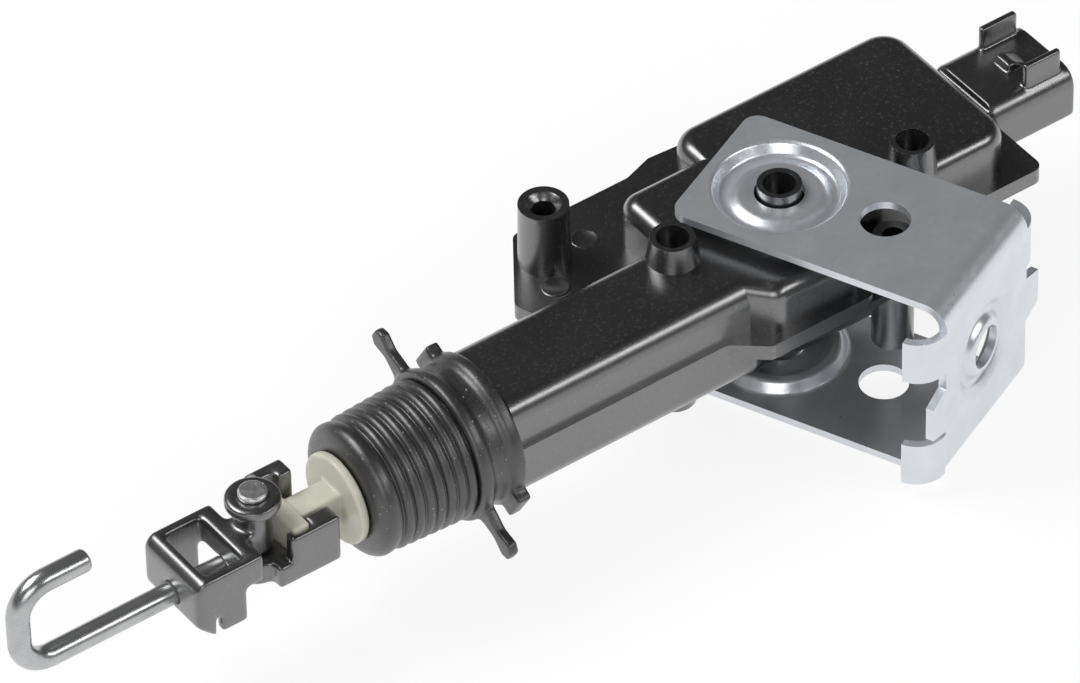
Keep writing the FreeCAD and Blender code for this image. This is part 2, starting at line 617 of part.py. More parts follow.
def make_bracket():
    """Bends the U-shaped mounting bracket, with its cups, holes and curled edge tabs."""
    body = new_body("mounting_bracket")
    sketch = new_sketch(body, "XZ_Plane")
    inner_top = "arm_top - steel"
    inner_bottom = "steel - arm_bottom"
    draw_polygon(sketch, (
        ("0 - arm_tail", "arm_top"), ("arm_reach", "arm_top"), ("arm_reach", "0 - arm_bottom"),
        ("0 - arm_tail", "0 - arm_bottom"), ("0 - arm_tail", inner_bottom),
        ("arm_reach - steel", inner_bottom), ("arm_reach - steel", inner_top), ("0 - arm_tail", inner_top),
    ))
    pad(body, sketch, "arm_width", both=True)
    across = runs_along(Vector(0, 1, 0))
    web_outside = lies_at(Vector(1, 0, 0), value("arm_reach"))
    web_inside = lies_at(Vector(1, 0, 0), value("arm_reach - steel"))
    free_end = lies_at(Vector(1, 0, 0), value("0 - arm_tail"))
    round_edges(body, "bend_inside + steel", both_hold(across, web_outside))
    round_edges(body, "bend_inside", both_hold(across, web_inside))
    round_edges(body, "arm_corner", both_hold(runs_along(Vector(0, 0, 1)), free_end))

    discs = new_sketch(body, "XY_Plane")
    draw_circle(discs, ("0", "0"), "cup_width")
    draw_circle(discs, ("arm_hole_reach", "arm_hole_side"), "arm_hole")
    pocket(body, discs)
    cup = ("cup_width", "cup_floor", "swivel_hole")
    pressed_cup(body, "XZ_Plane", ("0", "0", "0"), "V_Axis", "arm_top", "cup_depth", cup, 1)
    pressed_cup(body, "XZ_Plane", ("0", "0", "0"), "V_Axis", "(0 - arm_bottom)", "cup_depth", cup, -1)

    web_disc = new_sketch(body, "YZ_Plane", ("0", WEB_MIDDLE, "0"))
    draw_circle(web_disc, ("0", "0"), "web_cup_width")
    pocket(body, web_disc)
    web_cup = ("web_cup_width", "web_cup_floor", "web_hole")
    pressed_cup(body, "XZ_Plane", ("0", WEB_MIDDLE, "0"), "H_Axis", "arm_reach", "web_cup_depth", web_cup, 1)

    near_edge = "(0 - arm_width / 2)"
    far_edge = "(arm_width / 2)"
    for edge, side, top in ((near_edge, -1, "near_tab_top"), (near_edge, -1, "near_tab_low"),
                            (far_edge, 1, "far_tab_top")):
        curl = new_sketch(body, "XY_Plane", ("0", "0", "%s - tab_height" % top))
        draw_quarter_ring(curl, ("arm_reach - tab_curl", edge), "tab_curl", "(tab_curl - steel)", side)
        pad(body, curl, "tab_height")
    for edge, sign, top in ((near_edge, "0 - 1", "near_tongue_top"), (far_edge, "1", "far_tongue_top")):
        outer = "%s + (%s) * tongue_reach" % (edge, sign)
        root = "%s - (%s) * steel" % (edge, sign)
        low = "%s - tongue_height" % top
        tongue = new_sketch(body, "YZ_Plane", ("0", "0", "arm_reach - steel"))
        draw_polygon(tongue, (
            (root, low), (edge, low), (outer, "%s + tongue_taper" % low), (outer, "%s - tongue_taper" % top),
            (edge, top), (root, top),
        ))
        pad(body, tongue, "steel")
    finish_node(body, "mounting_bracket", turn=(Vector(0, 0, -1), "rest_swivel"))


GEAR_PLAN = (
    ("0 - gear_left", "gear_far"), ("gear_right", "gear_far"), ("gear_right", "0 - gear_near"),
    ("corner_cut - gear_left", "0 - gear_near"), ("0 - gear_left", "0 - axis_side - barrel_width / 4"),
)
MOTOR_PLAN = rectangle("0 - motor_left", "motor_right", "0 - motor_near", "motor_far")
DEEP_GEAR_PLAN = rectangle("0 - gear_left", "gear_right", "0 - deep_near", "gear_far")
DEEP_MOTOR_PLAN = rectangle("0 - motor_left", "motor_right", "motor_tuck - motor_near", "motor_far")
BELLY_ROOM = "(%s + tooth_tip * module + belly_play)" % GEAR_PITCH
MOTOR_FLOOR = "(%s - motor_width / 2 - slide_play)" % MOTOR_LEVEL


def chamber(name, plan, top, upwards, corner="corner_round", edge="edge_round"):
    """Raises one rounded chamber of the housing from the parting plane."""
    body = new_body(name)
    sketch = new_sketch(body, "XY_Plane", ("0", "0", "axis_level"))
    draw_polygon(sketch, plan)
    height = "(%s) - axis_level" % top if upwards else "axis_level - (%s)" % top
    pad(body, sketch, height, backwards=not upwards)
    round_edges(body, corner, runs_along(Vector(0, 0, 1)))
    round_edges(body, edge, lies_at(Vector(0, 0, 1), value(top)))
    return body


def belly():
    """Makes the round belly of the lower half, close under the gear."""
    start = "0 - gear_left + belly_round"
    hull = level_drill("belly_hull", start, "gear_right", AXIS[1:], "2 * (%s + wall)" % BELLY_ROOM)
    under = block("belly_side", (start, "gear_right"), ("0 - 2 * gear_near", "gear_far"),
                  ("0 - 2 * gear_near", "axis_level"))
    return common("belly", hull, under)


def barrel_half(name, top, upwards):
    """Makes one half of the barrel, rounded along its outer edges."""
    body = new_body(name)
    sketch = new_sketch(body, "YZ_Plane", ("0", "0", "0 - barrel_start"))
    near = "0 - axis_side - barrel_width / 2"
    far = "0 - axis_side + barrel_width / 2"
    draw_polygon(sketch, rectangle(near, far, "axis_level", top))
    pad(body, sketch, "barrel_start - gear_left + corner_cut - flange_rim")
    outer = lies_at(Vector(0, 0, 1), value(top))
    round_edges(body, "barrel_round", both_hold(runs_along(Vector(1, 0, 0)), outer))
    return body


def flange_half(name, upwards, near_reach):
    """Makes one half of the parting flange, which follows the barrel and both chambers."""
    near_lip = "0 - axis_side - barrel_width / 2 - barrel_lip"
    far_lip = "0 - axis_side + barrel_width / 2 + barrel_lip"
    near_edge = "0 - gear_near - flange_rim"
    right_near = "0 - motor_near - flange_rim * 1.5"
    mouth = "flange_rim / 2 - barrel_start"
    body = new_body(name)
    sketch = new_sketch(body, "XY_Plane", ("0", "0", "axis_level"))
    draw_polygon(sketch, (
        (mouth, near_lip), ("0 - gear_left - flange_rim / 2", near_lip),
        ("corner_cut - gear_left - flange_rim * 1.5", near_edge), (near_reach, near_edge),
        ("%s + flange_rim * 2.5" % near_reach, right_near), ("flange_right", right_near),
        ("flange_right", "flange_far - flange_skew"), ("0 - motor_left", "flange_far + flange_skew"),
        ("0 - motor_left - 3 * flange_skew", "flange_far"), ("flange_slant - flange_left", "flange_far"),
        ("0 - flange_left", "flange_far - flange_slope"), ("flange_heel - flange_left", far_lip),
        (mouth, far_lip),
    ))
    pad(body, sketch, "flange", backwards=not upwards)
    outer = both_hold(runs_along(Vector(0, 0, 1)),
                      lambda edge: edge.CenterOfMass.x > value("0 - flange_left - flange_rim"))
    round_edges(body, "corner_round / 2", outer)
    return body


def barrel_hollows(name, low_high):
    """Makes the hollows that both halves share: barrel, mouth and the seat of the connector."""
    near = "0 - axis_side - barrel_width / 2 + wall"
    far = "0 - axis_side + barrel_width / 2 - wall"
    return [
        block(name + "_barrel_room", ("0 - barrel_start + wall", "corner_cut - gear_left"), (near, far),
              low_high),
        level_drill(name + "_mouth", "0 - barrel_start - wall", "0 - barrel_start + 2 * wall",
                    AXIS[1:], "guide_width"),
        block(name + "_header_gap", (BLADE_START, "motor_right + wall"),
              ("header_side - header_width / 2 + header_neck",
               "header_side + header_width / 2 - header_neck"),
              ("axis_level - header_height / 2 + header_neck",
               "axis_level + header_height / 2 - header_neck")),
        block(name + "_header_seat", ("motor_right + header_neck_length", "header_end"),
              ("header_side - header_width / 2", "header_side + header_width / 2"),
              ("axis_level - header_height / 2", "axis_level + header_height / 2")),
    ]


def upper_cavity():
    """Makes the hollow inside the upper half of the housing."""
    low_high = ("axis_level", "%s - wall" % CHAMBER_TOP)
    far = "0 - axis_side + barrel_width / 2 - 2 * wall"
    return barrel_hollows("upper", low_high) + [
        block("upper_gear_room", ("corner_cut - gear_left", "gear_right - wall"),
              ("0 - gear_near + wall", "gear_far - wall"), low_high),
        block("upper_left_room", ("0 - gear_left + wall", "corner_cut - gear_left + wall"),
              (far, "gear_far - wall"), low_high),
        block("upper_motor_room", ("0 - motor_left + wall", "motor_right - wall"),
              ("0 - motor_near + wall", "motor_far - wall"), low_high),
    ]


def lower_cavity():
    """Makes the hollow inside the lower half of the housing."""
    low = "%s + wall" % CHAMBER_BOTTOM
    return barrel_hollows("lower", ("axis_level - barrel_drop + wall", "axis_level")) + [
        level_drill("belly_room", "corner_cut - gear_left", "gear_right - wall", AXIS[1:],
                    "2 * %s" % BELLY_ROOM),
        block("lower_gear_room", ("0 - gear_left + wall", "gear_right - wall"),
              ("wall - deep_near", "gear_far - wall"), (low, "axis_level")),
        block("lower_motor_room", ("0 - motor_left + wall", "motor_right - wall"),
              ("motor_tuck - motor_near + wall", "motor_far - wall"), (MOTOR_FLOOR, "axis_level")),
    ]


def bearing_ribs(name, low_high):
    """Makes the two ribs that carry the bearings of the lead screw in one half."""
    near = "0 - gear_near + wall"
    far = "0 - axis_side + screw_bush_width / 2 + wall"
    return [
        block(name + "_front_rib", ("0 - rib_front", "0 - rib_front + rib_thick"), (near, far), low_high),
        block(name + "_rear_rib", ("rear_rib", "rear_rib + rear_rib_thick"), (near, far), low_high),
    ]


def motor_ribs(name, near, low_high):
    """Makes the two ribs that carry the motor in one half."""
    places = ("motor_front + motor_rib_inset", "motor_front + motor_length - 2 * motor_rib_inset")
    return [block("%s_motor_rib_%d" % (name, index), (place, "%s + motor_rib" % place),
                  (near, "motor_far - wall"), low_high)
            for index, place in enumerate(places)]


def seats(name, ribs):
    """Bores the ribs of one half for the bearings and the motor."""
    bore = level_drill(name + "_bearing_bore", "0 - rib_front - wall", "motor_front - wall / 2",
                       AXIS[1:], "screw_bush_width")
    bed = level_drill(name + "_motor_bed", "motor_front - wall / 2", "motor_front + motor_length + cap_thick",
                      MOTOR_AXIS[1:], "motor_width")
    return without(name + "_seats", joined(name + "_ribs", ribs), joined(name + "_beds", [bore, bed]))


SWIVEL = ("0", "0")
BARREL_BOSS = ("0 - barrel_boss_reach", "0")
MOTOR_BOSS = ("motor_boss_reach", "0 - motor_boss_side")
SCREW_BOSS = ("0 - screw_boss_x", "screw_boss_y")
NEAR_BOSS = ("near_boss_x", "0 - near_boss_y")


def make_upper_housing():
    """Moulds the upper half of the housing, with its hollow bosses."""
    foot = "boss_width + 2 * boss_taper"
    solids = [
        chamber("upper_gear_chamber", GEAR_PLAN, CHAMBER_TOP, True),
        chamber("upper_motor_chamber", MOTOR_PLAN, CHAMBER_TOP, True, "motor_round"),
        barrel_half("upper_barrel", CHAMBER_TOP, True),
        flange_half("upper_flange", True, "gear_right"),
        round_boss("swivel_boss_top", SWIVEL, "%s - wall" % CHAMBER_TOP, "boss_top", "boss_width",
                   "boss_width"),
        round_boss("barrel_boss_top", BARREL_BOSS, "%s - wall" % CHAMBER_TOP, "boss_top", foot, "boss_width"),
        round_boss("motor_boss_top", MOTOR_BOSS, "axis_level + flange", "boss_top", foot, "boss_width"),
        round_boss("screw_boss_top_half", SCREW_BOSS, "axis_level", "screw_boss_top",
                   "screw_boss_width + boss_taper / 2", "screw_boss_width"),
    ]
    cutters = upper_cavity()
    for name, place in (("swivel", SWIVEL), ("barrel", BARREL_BOSS), ("motor", MOTOR_BOSS)):
        low = "boss_top - boss_bore_depth"
        cutters.append(drill(name + "_boss_bore", place, low, "boss_top + wall", "boss_bore"))
    cutters.append(drill("near_boss_room", NEAR_BOSS, "0", "%s" % CHAMBER_TOP,
                         "near_boss_width + 2 * slide_play"))
    cutters.append(drill("screw_bore_top", SCREW_BOSS, "axis_level - wall", "screw_boss_top + wall",
                         "screw_bore"))
    sink = round_boss("screw_sink_top", SCREW_BOSS, "screw_boss_top - sink_depth",
                      "screw_boss_top + sink_depth",
                      "screw_bore", "2 * screw_sink - screw_bore")
    cutters.append(sink)
    floor = round_boss("motor_boss_floor", MOTOR_BOSS, "%s - wall" % CHAMBER_TOP,
                       "boss_top - boss_bore_depth",
                       "boss_width", "boss_width")
    ribs_high = ("axis_level", "%s - wall" % CHAMBER_TOP)
    ribs = bearing_ribs("upper", ribs_high) + motor_ribs("upper", "0 - motor_near + wall", ribs_high)
    shell = without("upper_shell", joined("upper_masses", solids), joined("upper_hollows", cutters))
    finish_node(joined("upper_housing_solid", (shell, seats("upper", ribs), floor)), "upper_housing")


def make_lower_housing():
    """Moulds the deeper lower half of the housing."""
    foot = "boss_width + 2 * boss_taper"
    barrel_bottom = "axis_level - barrel_drop"
    solids = [
        chamber("lower_gear_chamber", DEEP_GEAR_PLAN, CHAMBER_BOTTOM, False),
        chamber("lower_motor_chamber", DEEP_MOTOR_PLAN, CHAMBER_BOTTOM, False, "motor_round",
                "belly_round - wall / 2"),
        belly(),
        barrel_half("lower_barrel", barrel_bottom, False),
        flange_half("lower_flange", False, "near_boss_x + near_boss_width / 2 + flange_rim / 2"),
        round_boss("swivel_boss_under", SWIVEL, "0 - boss_bottom", "%s + wall" % CHAMBER_BOTTOM,
                   "boss_width", "boss_width"),
        round_boss("barrel_boss_under", BARREL_BOSS, "0 - barrel_boss_drop", "%s + wall" % barrel_bottom,
                   "boss_width", foot),
        round_boss("screw_boss_under", SCREW_BOSS, "0 - screw_boss_drop", "axis_level",
                   "screw_boss_width", "screw_boss_width"),
        round_boss("near_boss", NEAR_BOSS, "0 - near_boss_drop", "near_boss_top", "near_boss_width",
                   "near_boss_width"),
    ]
    cutters = lower_cavity() + [
        drill("swivel_bore_under", SWIVEL, "0 - boss_bottom - wall",
              "0 - boss_bottom + boss_bore_depth - wall",
              "boss_bore"),
        drill("screw_bore_under", SCREW_BOSS, "0 - screw_boss_drop - wall", "axis_level + wall",
              "screw_bore"),
        drill("near_bore", NEAR_BOSS, "0 - near_boss_drop - wall", "near_boss_top + wall", "screw_bore"),
    ]
    shell = without("lower_shell", joined("lower_masses", solids), joined("lower_hollows", cutters))
    disc = level_drill("belly_disc", "0 - rib_front - wall", "gear_right - wall", AXIS[1:],
                       "2 * %s + wall / 2" % BELLY_ROOM)
    blocks = bearing_ribs("lower", ("axis_level - barrel_drop - wall", "axis_level"))
    screw_ribs = common("belly_ribs", joined("belly_rib_blocks", blocks), disc)
    ribs = motor_ribs("lower", "motor_tuck - motor_near + wall",
                      ("%s - wall / 2" % MOTOR_FLOOR, "axis_level"))
    finish_node(joined("lower_housing_solid", (shell, seats("lower", [screw_ribs] + ribs))), "lower_housing")


BLADE_START = "motor_right - wall * 1.5"


def make_connector():
    """Moulds the connector header, with its keying tabs, latch ramp and two terminal blades."""
    body = new_body("header_body")
    start = "motor_right + header_neck_length"
    sketch = new_sketch(body, "YZ_Plane", ("header_side", "axis_level", start))
    side = "header_width / 2"
    up = "header_height / 2"
    draw_polygon(sketch, rectangle("0 - %s" % side, side, "0 - %s" % up, up))
    pad(body, sketch, "header_end - motor_right - header_neck_length")
    round_edges(body, "header_round", both_hold(runs_along(Vector(1, 0, 0)),
                                               lies_at(Vector(0, 0, 1),
                                                       value("axis_level + header_height / 2"))))
    round_edges(body, "header_round / 3", both_hold(runs_along(Vector(1, 0, 0)),
                                                   lies_at(Vector(0, 0, 1),
                                                           value("axis_level - header_height / 2"))))
    neck_side = "header_width / 2 - header_neck"
    neck_up = "header_height / 2 - header_neck"
    neck = new_sketch(body, "YZ_Plane", ("header_side", "axis_level", start))
    draw_polygon(neck, rectangle("0 - (%s)" % neck_side, neck_side, "0 - (%s)" % neck_up, neck_up))
    pad(body, neck, "header_neck_length + wall", backwards=True)
    room = new_sketch(body, "YZ_Plane", ("header_side", "axis_level", "header_end"))
    room_side = "header_width / 2 - header_wall"
    room_up = "header_height / 2 - header_wall"
    draw_polygon(room, rectangle("0 - (%s)" % room_side, room_side, "0 - (%s)" % room_up, room_up))
    pocket(body, room, "header_depth")
    round_edges(body, "header_round - header_wall",
                both_hold(runs_along(Vector(1, 0, 0)),
                          lies_at(Vector(0, 0, 1), value("axis_level + %s" % room_up)),))
    top = "header_height / 2 - header_wall / 2"
    for sign in ("0 - 1", "1"):
        middle = "(%s) * key_spread / 2" % sign
        key = new_sketch(body, "YZ_Plane", ("header_side", "axis_level",
                                            "header_end - key_length - key_setback"))
        draw_polygon(key, rectangle("%s - key_thick / 2" % middle, "%s + key_thick / 2" % middle, top,
                                    "header_height / 2 + key_height"))
        pad(body, key, "key_length")
    ramp = new_sketch(body, "XZ_Plane", ("header_end", "axis_level + header_height / 2", "0 - header_side"))
    draw_polygon(ramp, (
        ("0 - ramp_start", "0 - header_wall / 2"), ("0 - ramp_end", "0 - header_wall / 2"),
        ("0 - ramp_end", "0"),
        ("0 - ramp_end - ramp_slope", "ramp_height"), ("0 - ramp_start", "ramp_height"),
    ))
    pad(body, ramp, "ramp_width", both=True)
    slots = [block("blade_slot_%d" % index, (BLADE_START, "header_end"),
                   ("header_side + (%s) * blade_pitch / 2 - blade_width / 2" % sign,
                    "header_side + (%s) * blade_pitch / 2 + blade_width / 2" % sign),
                   ("axis_level - blade_thick / 2", "axis_level + blade_thick / 2"))
             for index, sign in enumerate(("0 - 1", "1"))]
    finish_node(without("connector_header_solid", body, joined("blade_slots", slots)), "connector_header")
    blades = []
    for index, sign in enumerate(("0 - 1", "1")):
        blade = new_body("blade_%d" % index)
        flat = new_sketch(blade, "XY_Plane", ("0", "header_side + (%s) * blade_pitch / 2" % sign,
                                              "axis_level - blade_thick / 2"))
        draw_polygon(flat, (
            (BLADE_START, "0 - blade_width / 2"), ("blade_end - blade_taper", "0 - blade_width / 2"),
            ("blade_end", "0 - blade_width / 4"), ("blade_end", "blade_width / 4"),
            ("blade_end - blade_taper", "blade_width / 2"), (BLADE_START, "blade_width / 2"),
        ))
        pad(blade, flat, "blade_thick")
        blades.append(blade)
    finish_node(grouped("terminal_blades_pair", blades), "terminal_blades")


def make_contact_strips():
    """Bends the two brass strips that run from the blades down to the motor terminals."""
    strips = []
    start = "motor_front + motor_length + cap_thick + cap_boss + slide_play"
    for index, sign in enumerate(("0 - 1", "1")):
        side = "header_side + (%s) * blade_pitch / 2" % sign
        strip = new_body("strip_%d" % index)
        sketch = new_sketch(strip, "XZ_Plane", ("0", "0", "0 - (%s)" % side))
        top = "axis_level + blade_thick / 2"
        draw_polygon(sketch, (
            (start, "%s - strip_drop" % MOTOR_LEVEL),
            ("%s + blade_thick" % start, "%s - strip_drop" % MOTOR_LEVEL),
            ("%s + blade_thick" % start, "axis_level - blade_thick / 2"),
            (BLADE_START, "axis_level - blade_thick / 2"), (BLADE_START, top),
            (start, top),
        ))
        pad(strip, sketch, "blade_width", both=True)
        strips.append(strip)
    finish_node(grouped("contact_strips_pair", strips), "contact_strips")


def make_motor():
    """Makes the motor: can, end cap, bearings, magnets, armature and shaft, all on the motor axis."""
    outside = "motor_width / 2"
    inside = "motor_width / 2 - can_sheet"
    bush = "bush_width / 2"
    shaft = "shaft_width / 2"
    bore = "shaft_width / 2 + shaft_play"
    back = "motor_front + motor_length"
    nose = "motor_front - can_nose"
    can = turned("can", (
        (nose, bush), (nose, "bush_width / 2 + can_sheet"), ("motor_front", "bush_width / 2 + can_sheet"),
        ("motor_front", outside), (back, outside), (back, inside), ("motor_front + can_sheet", inside),
        ("motor_front + can_sheet", bush),
    ))
    finish_node(can, "motor_can", MOTOR_AXIS)
    cap = turned("cap", (
        (back, bush), ("%s - cap_rim" % back, bush), ("%s - cap_rim" % back, inside), (back, inside),
        (back, outside),
        ("%s + cap_thick" % back, outside), ("%s + cap_thick" % back, "bush_width / 2 + cap_boss"),
        ("%s + cap_thick + cap_boss" % back, "bush_width / 2 + cap_boss"),
        ("%s + cap_thick + cap_boss" % back, bush),
    ))
    finish_node(without("cap_relieved", cap, cap_reliefs()), "motor_end_cap", MOTOR_AXIS)
    front_bush = turned("front_bush", ((nose, bore), (nose, bush), ("motor_front + can_sheet", bush),
                                       ("motor_front + can_sheet", bore)))
    rear_bush = turned("rear_bush", (("%s - cap_rim" % back, bore), ("%s - cap_rim" % back, bush),
                                     ("%s + cap_thick + cap_boss" % back, bush),
                                     ("%s + cap_thick + cap_boss" % back, bore)))
    finish_node(grouped("motor_bearing_pair", (front_bush, rear_bush)), "motor_bearings", MOTOR_AXIS)
    gap_inside = "motor_width / 2 - can_sheet - magnet_thick"
    ring = turned("magnet_ring", (("motor_front + magnet_margin", gap_inside),
                                  ("motor_front + magnet_margin", inside),
                                  ("%s - magnet_margin" % back, inside),
                                  ("%s - magnet_margin" % back, gap_inside)))
    split = block("magnet_split", ("motor_front", back), ("0 - motor_width", "motor_width"),
                  ("0 - magnet_gap / 2", "magnet_gap / 2"))
    finish_node(without("magnet_pair", ring, split), "motor_magnets", MOTOR_AXIS)
    core = "%s - air_gap" % gap_inside
    step = "%s - core_back" % back
    end = "%s - magnet_margin" % back
    armature = turned("armature", (
        ("motor_front + core_front", shaft), ("motor_front + core_front", core), (step, core),
        (step, "commutator_width / 2"), (end, "commutator_width / 2"), (end, shaft),
    ))
    slot = new_sketch(armature, "YZ_Plane")
    draw_polygon(slot, rectangle("%s - core_slot" % core, "%s + air_gap" % core, "0 - core_slot_width / 2",
                                 "core_slot_width / 2"))
    round_pattern(armature, slot, pocket(armature, slot), "core_poles")
    finish_node(armature, "armature", MOTOR_AXIS)
    rod = turned("motor_rod", (("gear_back - gear_face - 2 * pinion_margin", "0"),
                               ("gear_back - gear_face - 2 * pinion_margin", shaft),
                               ("%s + cap_thick + cap_boss" % back, shaft),
                               ("%s + cap_thick + cap_boss" % back, "0")))
    finish_node(rod, "motor_shaft", MOTOR_AXIS)


def cap_reliefs():
    """Makes the cutters for the brush windows of the end cap."""
    back = "motor_front + motor_length"
    return joined("cap_windows", [
        block("cap_window_%d" % index, ("%s + cap_thick / 2" % back, "%s + cap_thick + cap_boss" % back),
              ("(%s) * brush_side - brush_width / 2" % sign, "(%s) * brush_side + brush_width / 2" % sign),
              ("0 - brush_height / 2", "brush_height / 2"))
        for index, sign in enumerate(("0 - 1", "1"))])


def toothed_wheel(name, teeth, front, back, bore):
    """Cuts a spur wheel: a turned blank, one tooth space and its polar pattern."""
    pitch = "(module * %s / 2)" % teeth
    crown = "%s + tooth_tip * module" % pitch
    body = turned(name, ((front, bore), (front, crown), (back, crown),
                         (back, bore)))
    space = new_sketch(body, "YZ_Plane", ("0", "0", front))
    half = "(module * pi / 4 + backlash / 4)"
    root = "(%s - tooth_root * module)" % pitch
    tip = "(%s + (tooth_tip + backlash) * module)" % pitch
    low = "(%s - tooth_root * module * tan(tooth_slope))" % half
    high = "(%s + (tooth_tip + backlash) * module * tan(tooth_slope))" % half
    draw_polygon(space, ((root, "0 - %s" % low), (tip, "0 - %s" % high), (tip, high), (root, low)))
    groove = pocket(body, space, "(%s) - (%s)" % (back, front), backwards=True)
    round_pattern(body, space, groove, teeth)
    return body


def make_drive():
    """Makes the pinion, the screw gear and the lead screw with its bearings."""
    front = "gear_back - gear_face"
    pinion = toothed_wheel("pinion", "pinion_teeth", "%s - pinion_margin" % front,
                           "gear_back + pinion_margin", "shaft_width / 2")
    half_turn = "0 - %s + 180 + 180 / pinion_teeth" % MESH_ANGLE
    finish_node(pinion, "motor_pinion", MOTOR_AXIS, (Vector(1, 0, 0), half_turn))
    gear = toothed_wheel("gear", "gear_teeth", front, "gear_back", "journal_width / 2")
    hub = new_sketch(gear, "XZ_Plane")
    hub_end = "rear_rib - washer_thick"
    draw_polygon(hub, (("gear_back", "journal_width / 2"), ("gear_back", "screw_bush_width / 2"),
                       (hub_end, "screw_bush_width / 2"), (hub_end, "journal_width / 2")))
    spin(gear, hub, "H_Axis")
    finish_node(gear, "screw_gear", AXIS, (Vector(1, 0, 0), "0 - %s" % MESH_ANGLE))
    screw = turned("screw", (
        ("0 - screw_tip", "0"), ("0 - screw_tip", "screw_width / 2 - screw_bevel"),
        ("screw_bevel - screw_tip", "screw_width / 2"),
        ("0 - rib_front - screw_bevel", "screw_width / 2"),
        ("0 - rib_front - screw_bevel", "journal_width / 2"),
        ("rear_rib + rear_rib_thick", "journal_width / 2"), ("rear_rib + rear_rib_thick", "0"),
    ))
    finish_node(screw, "lead_screw", AXIS)
    bore = "journal_width / 2 + shaft_play"
    outside = "screw_bush_width / 2"
    bushes = [turned(name, ((start, bore), (start, outside), (stop, outside), (stop, bore)))
              for name, start, stop in (("front_screw_bush", "0 - rib_front", "0 - rib_front + rib_thick"),
                                        ("rear_screw_bush", "rear_rib", "rear_rib + rear_rib_thick"))]
    finish_node(grouped("screw_bush_pair", bushes), "screw_bearings", AXIS)
    washer = turned("washer", ((hub_end, bore), (hub_end, outside), ("rear_rib", outside),
                               ("rear_rib", bore)))
    finish_node(washer, "thrust_washer", AXIS)


def make_plunger():
    """Makes the plunger with its nut block, flange and tee head, and the guide and bumpers round it."""
    rod = "rod_width / 2"
    nut_front = "0 - nut_back - nut_length"
    body = turned("plunger_body", (
        ("0 - disc_back - disc_thick", "0"), ("0 - disc_back - disc_thick", "disc_width / 2"),
        ("0 - disc_back", "disc_width / 2"), ("0 - disc_back", rod), (nut_front, rod),
        (nut_front, "screw_width / 2 + screw_room"),
        ("0 - screw_tip - 2 * screw_bevel", "screw_width / 2 + screw_room"),
        ("0 - screw_tip - 2 * screw_bevel", "0"),
    ))
    nut = new_sketch(body, "YZ_Plane", ("0", "0", nut_front))
    nut_side = "barrel_width / 2 - wall - slide_play"
    nut_up = "barrel_drop - wall - slide_play"
    draw_polygon(nut, rectangle("0 - (%s)" % nut_side, nut_side, "0 - (%s)" % nut_up, nut_up))
    draw_circle(nut, ("0", "0"), "screw_width + 2 * shaft_play")
    pad(body, nut, "nut_length")
    neck = new_sketch(body, "YZ_Plane", ("0", "0", "0 - disc_back - disc_thick"))
    draw_polygon(neck, rectangle("0 - neck_width / 2", "neck_width / 2", "0 - neck_height / 2",
                                 "neck_height / 2"))
    pad(body, neck, "tee_front - tee_thick - disc_back - disc_thick", backwards=True)
    tee = new_sketch(body, "YZ_Plane", ("0", "0", "tee_thick - tee_front"))
    draw_polygon(tee, rectangle("0 - tee_width / 2", "tee_width / 2", "0 - tee_height / 2", "tee_height / 2"))
    pad(body, tee, "tee_thick", backwards=True)
    finish_node(body, "plunger", AXIS)
    guide_end = "0 - nut_back - nut_length - stroke - slide_play - bumper"
    bore = "rod_width / 2 + rod_play"
    guide = turned("guide", (
        ("0 - barrel_start - nose_length", bore), ("0 - barrel_start - nose_length", "nose_width / 2"),
        ("0 - barrel_start", "nose_width / 2"), ("0 - barrel_start", "guide_width / 2"),
        (guide_end, "guide_width / 2"), (guide_end, bore),
    ))
    finish_node(guide, "plunger_guide", AXIS)
    front = turned("front_bumper", ((guide_end, "rod_width / 2 + slide_play"), (guide_end, "guide_width / 2"),
                                    ("%s + bumper" % guide_end, "guide_width / 2"),
                                    ("%s + bumper" % guide_end, "rod_width / 2 + slide_play")))
    rear = turned("rear_bumper", (("0 - nut_back + slide_play", "screw_width / 2 + slide_play"),
                                  ("0 - nut_back + slide_play", "guide_width / 2"),
                                  ("0 - rib_front", "guide_width / 2"),
                                  ("0 - rib_front", "screw_width / 2 + slide_play")))
    finish_node(grouped("bumper_pair", (front, rear)), "stop_bumpers", AXIS)


# Where one ridge of the boot begins, ends and reaches the groove, as shares of its length.
RIDGE_SHARES = (0.15, 0.65, 0.8, 1)


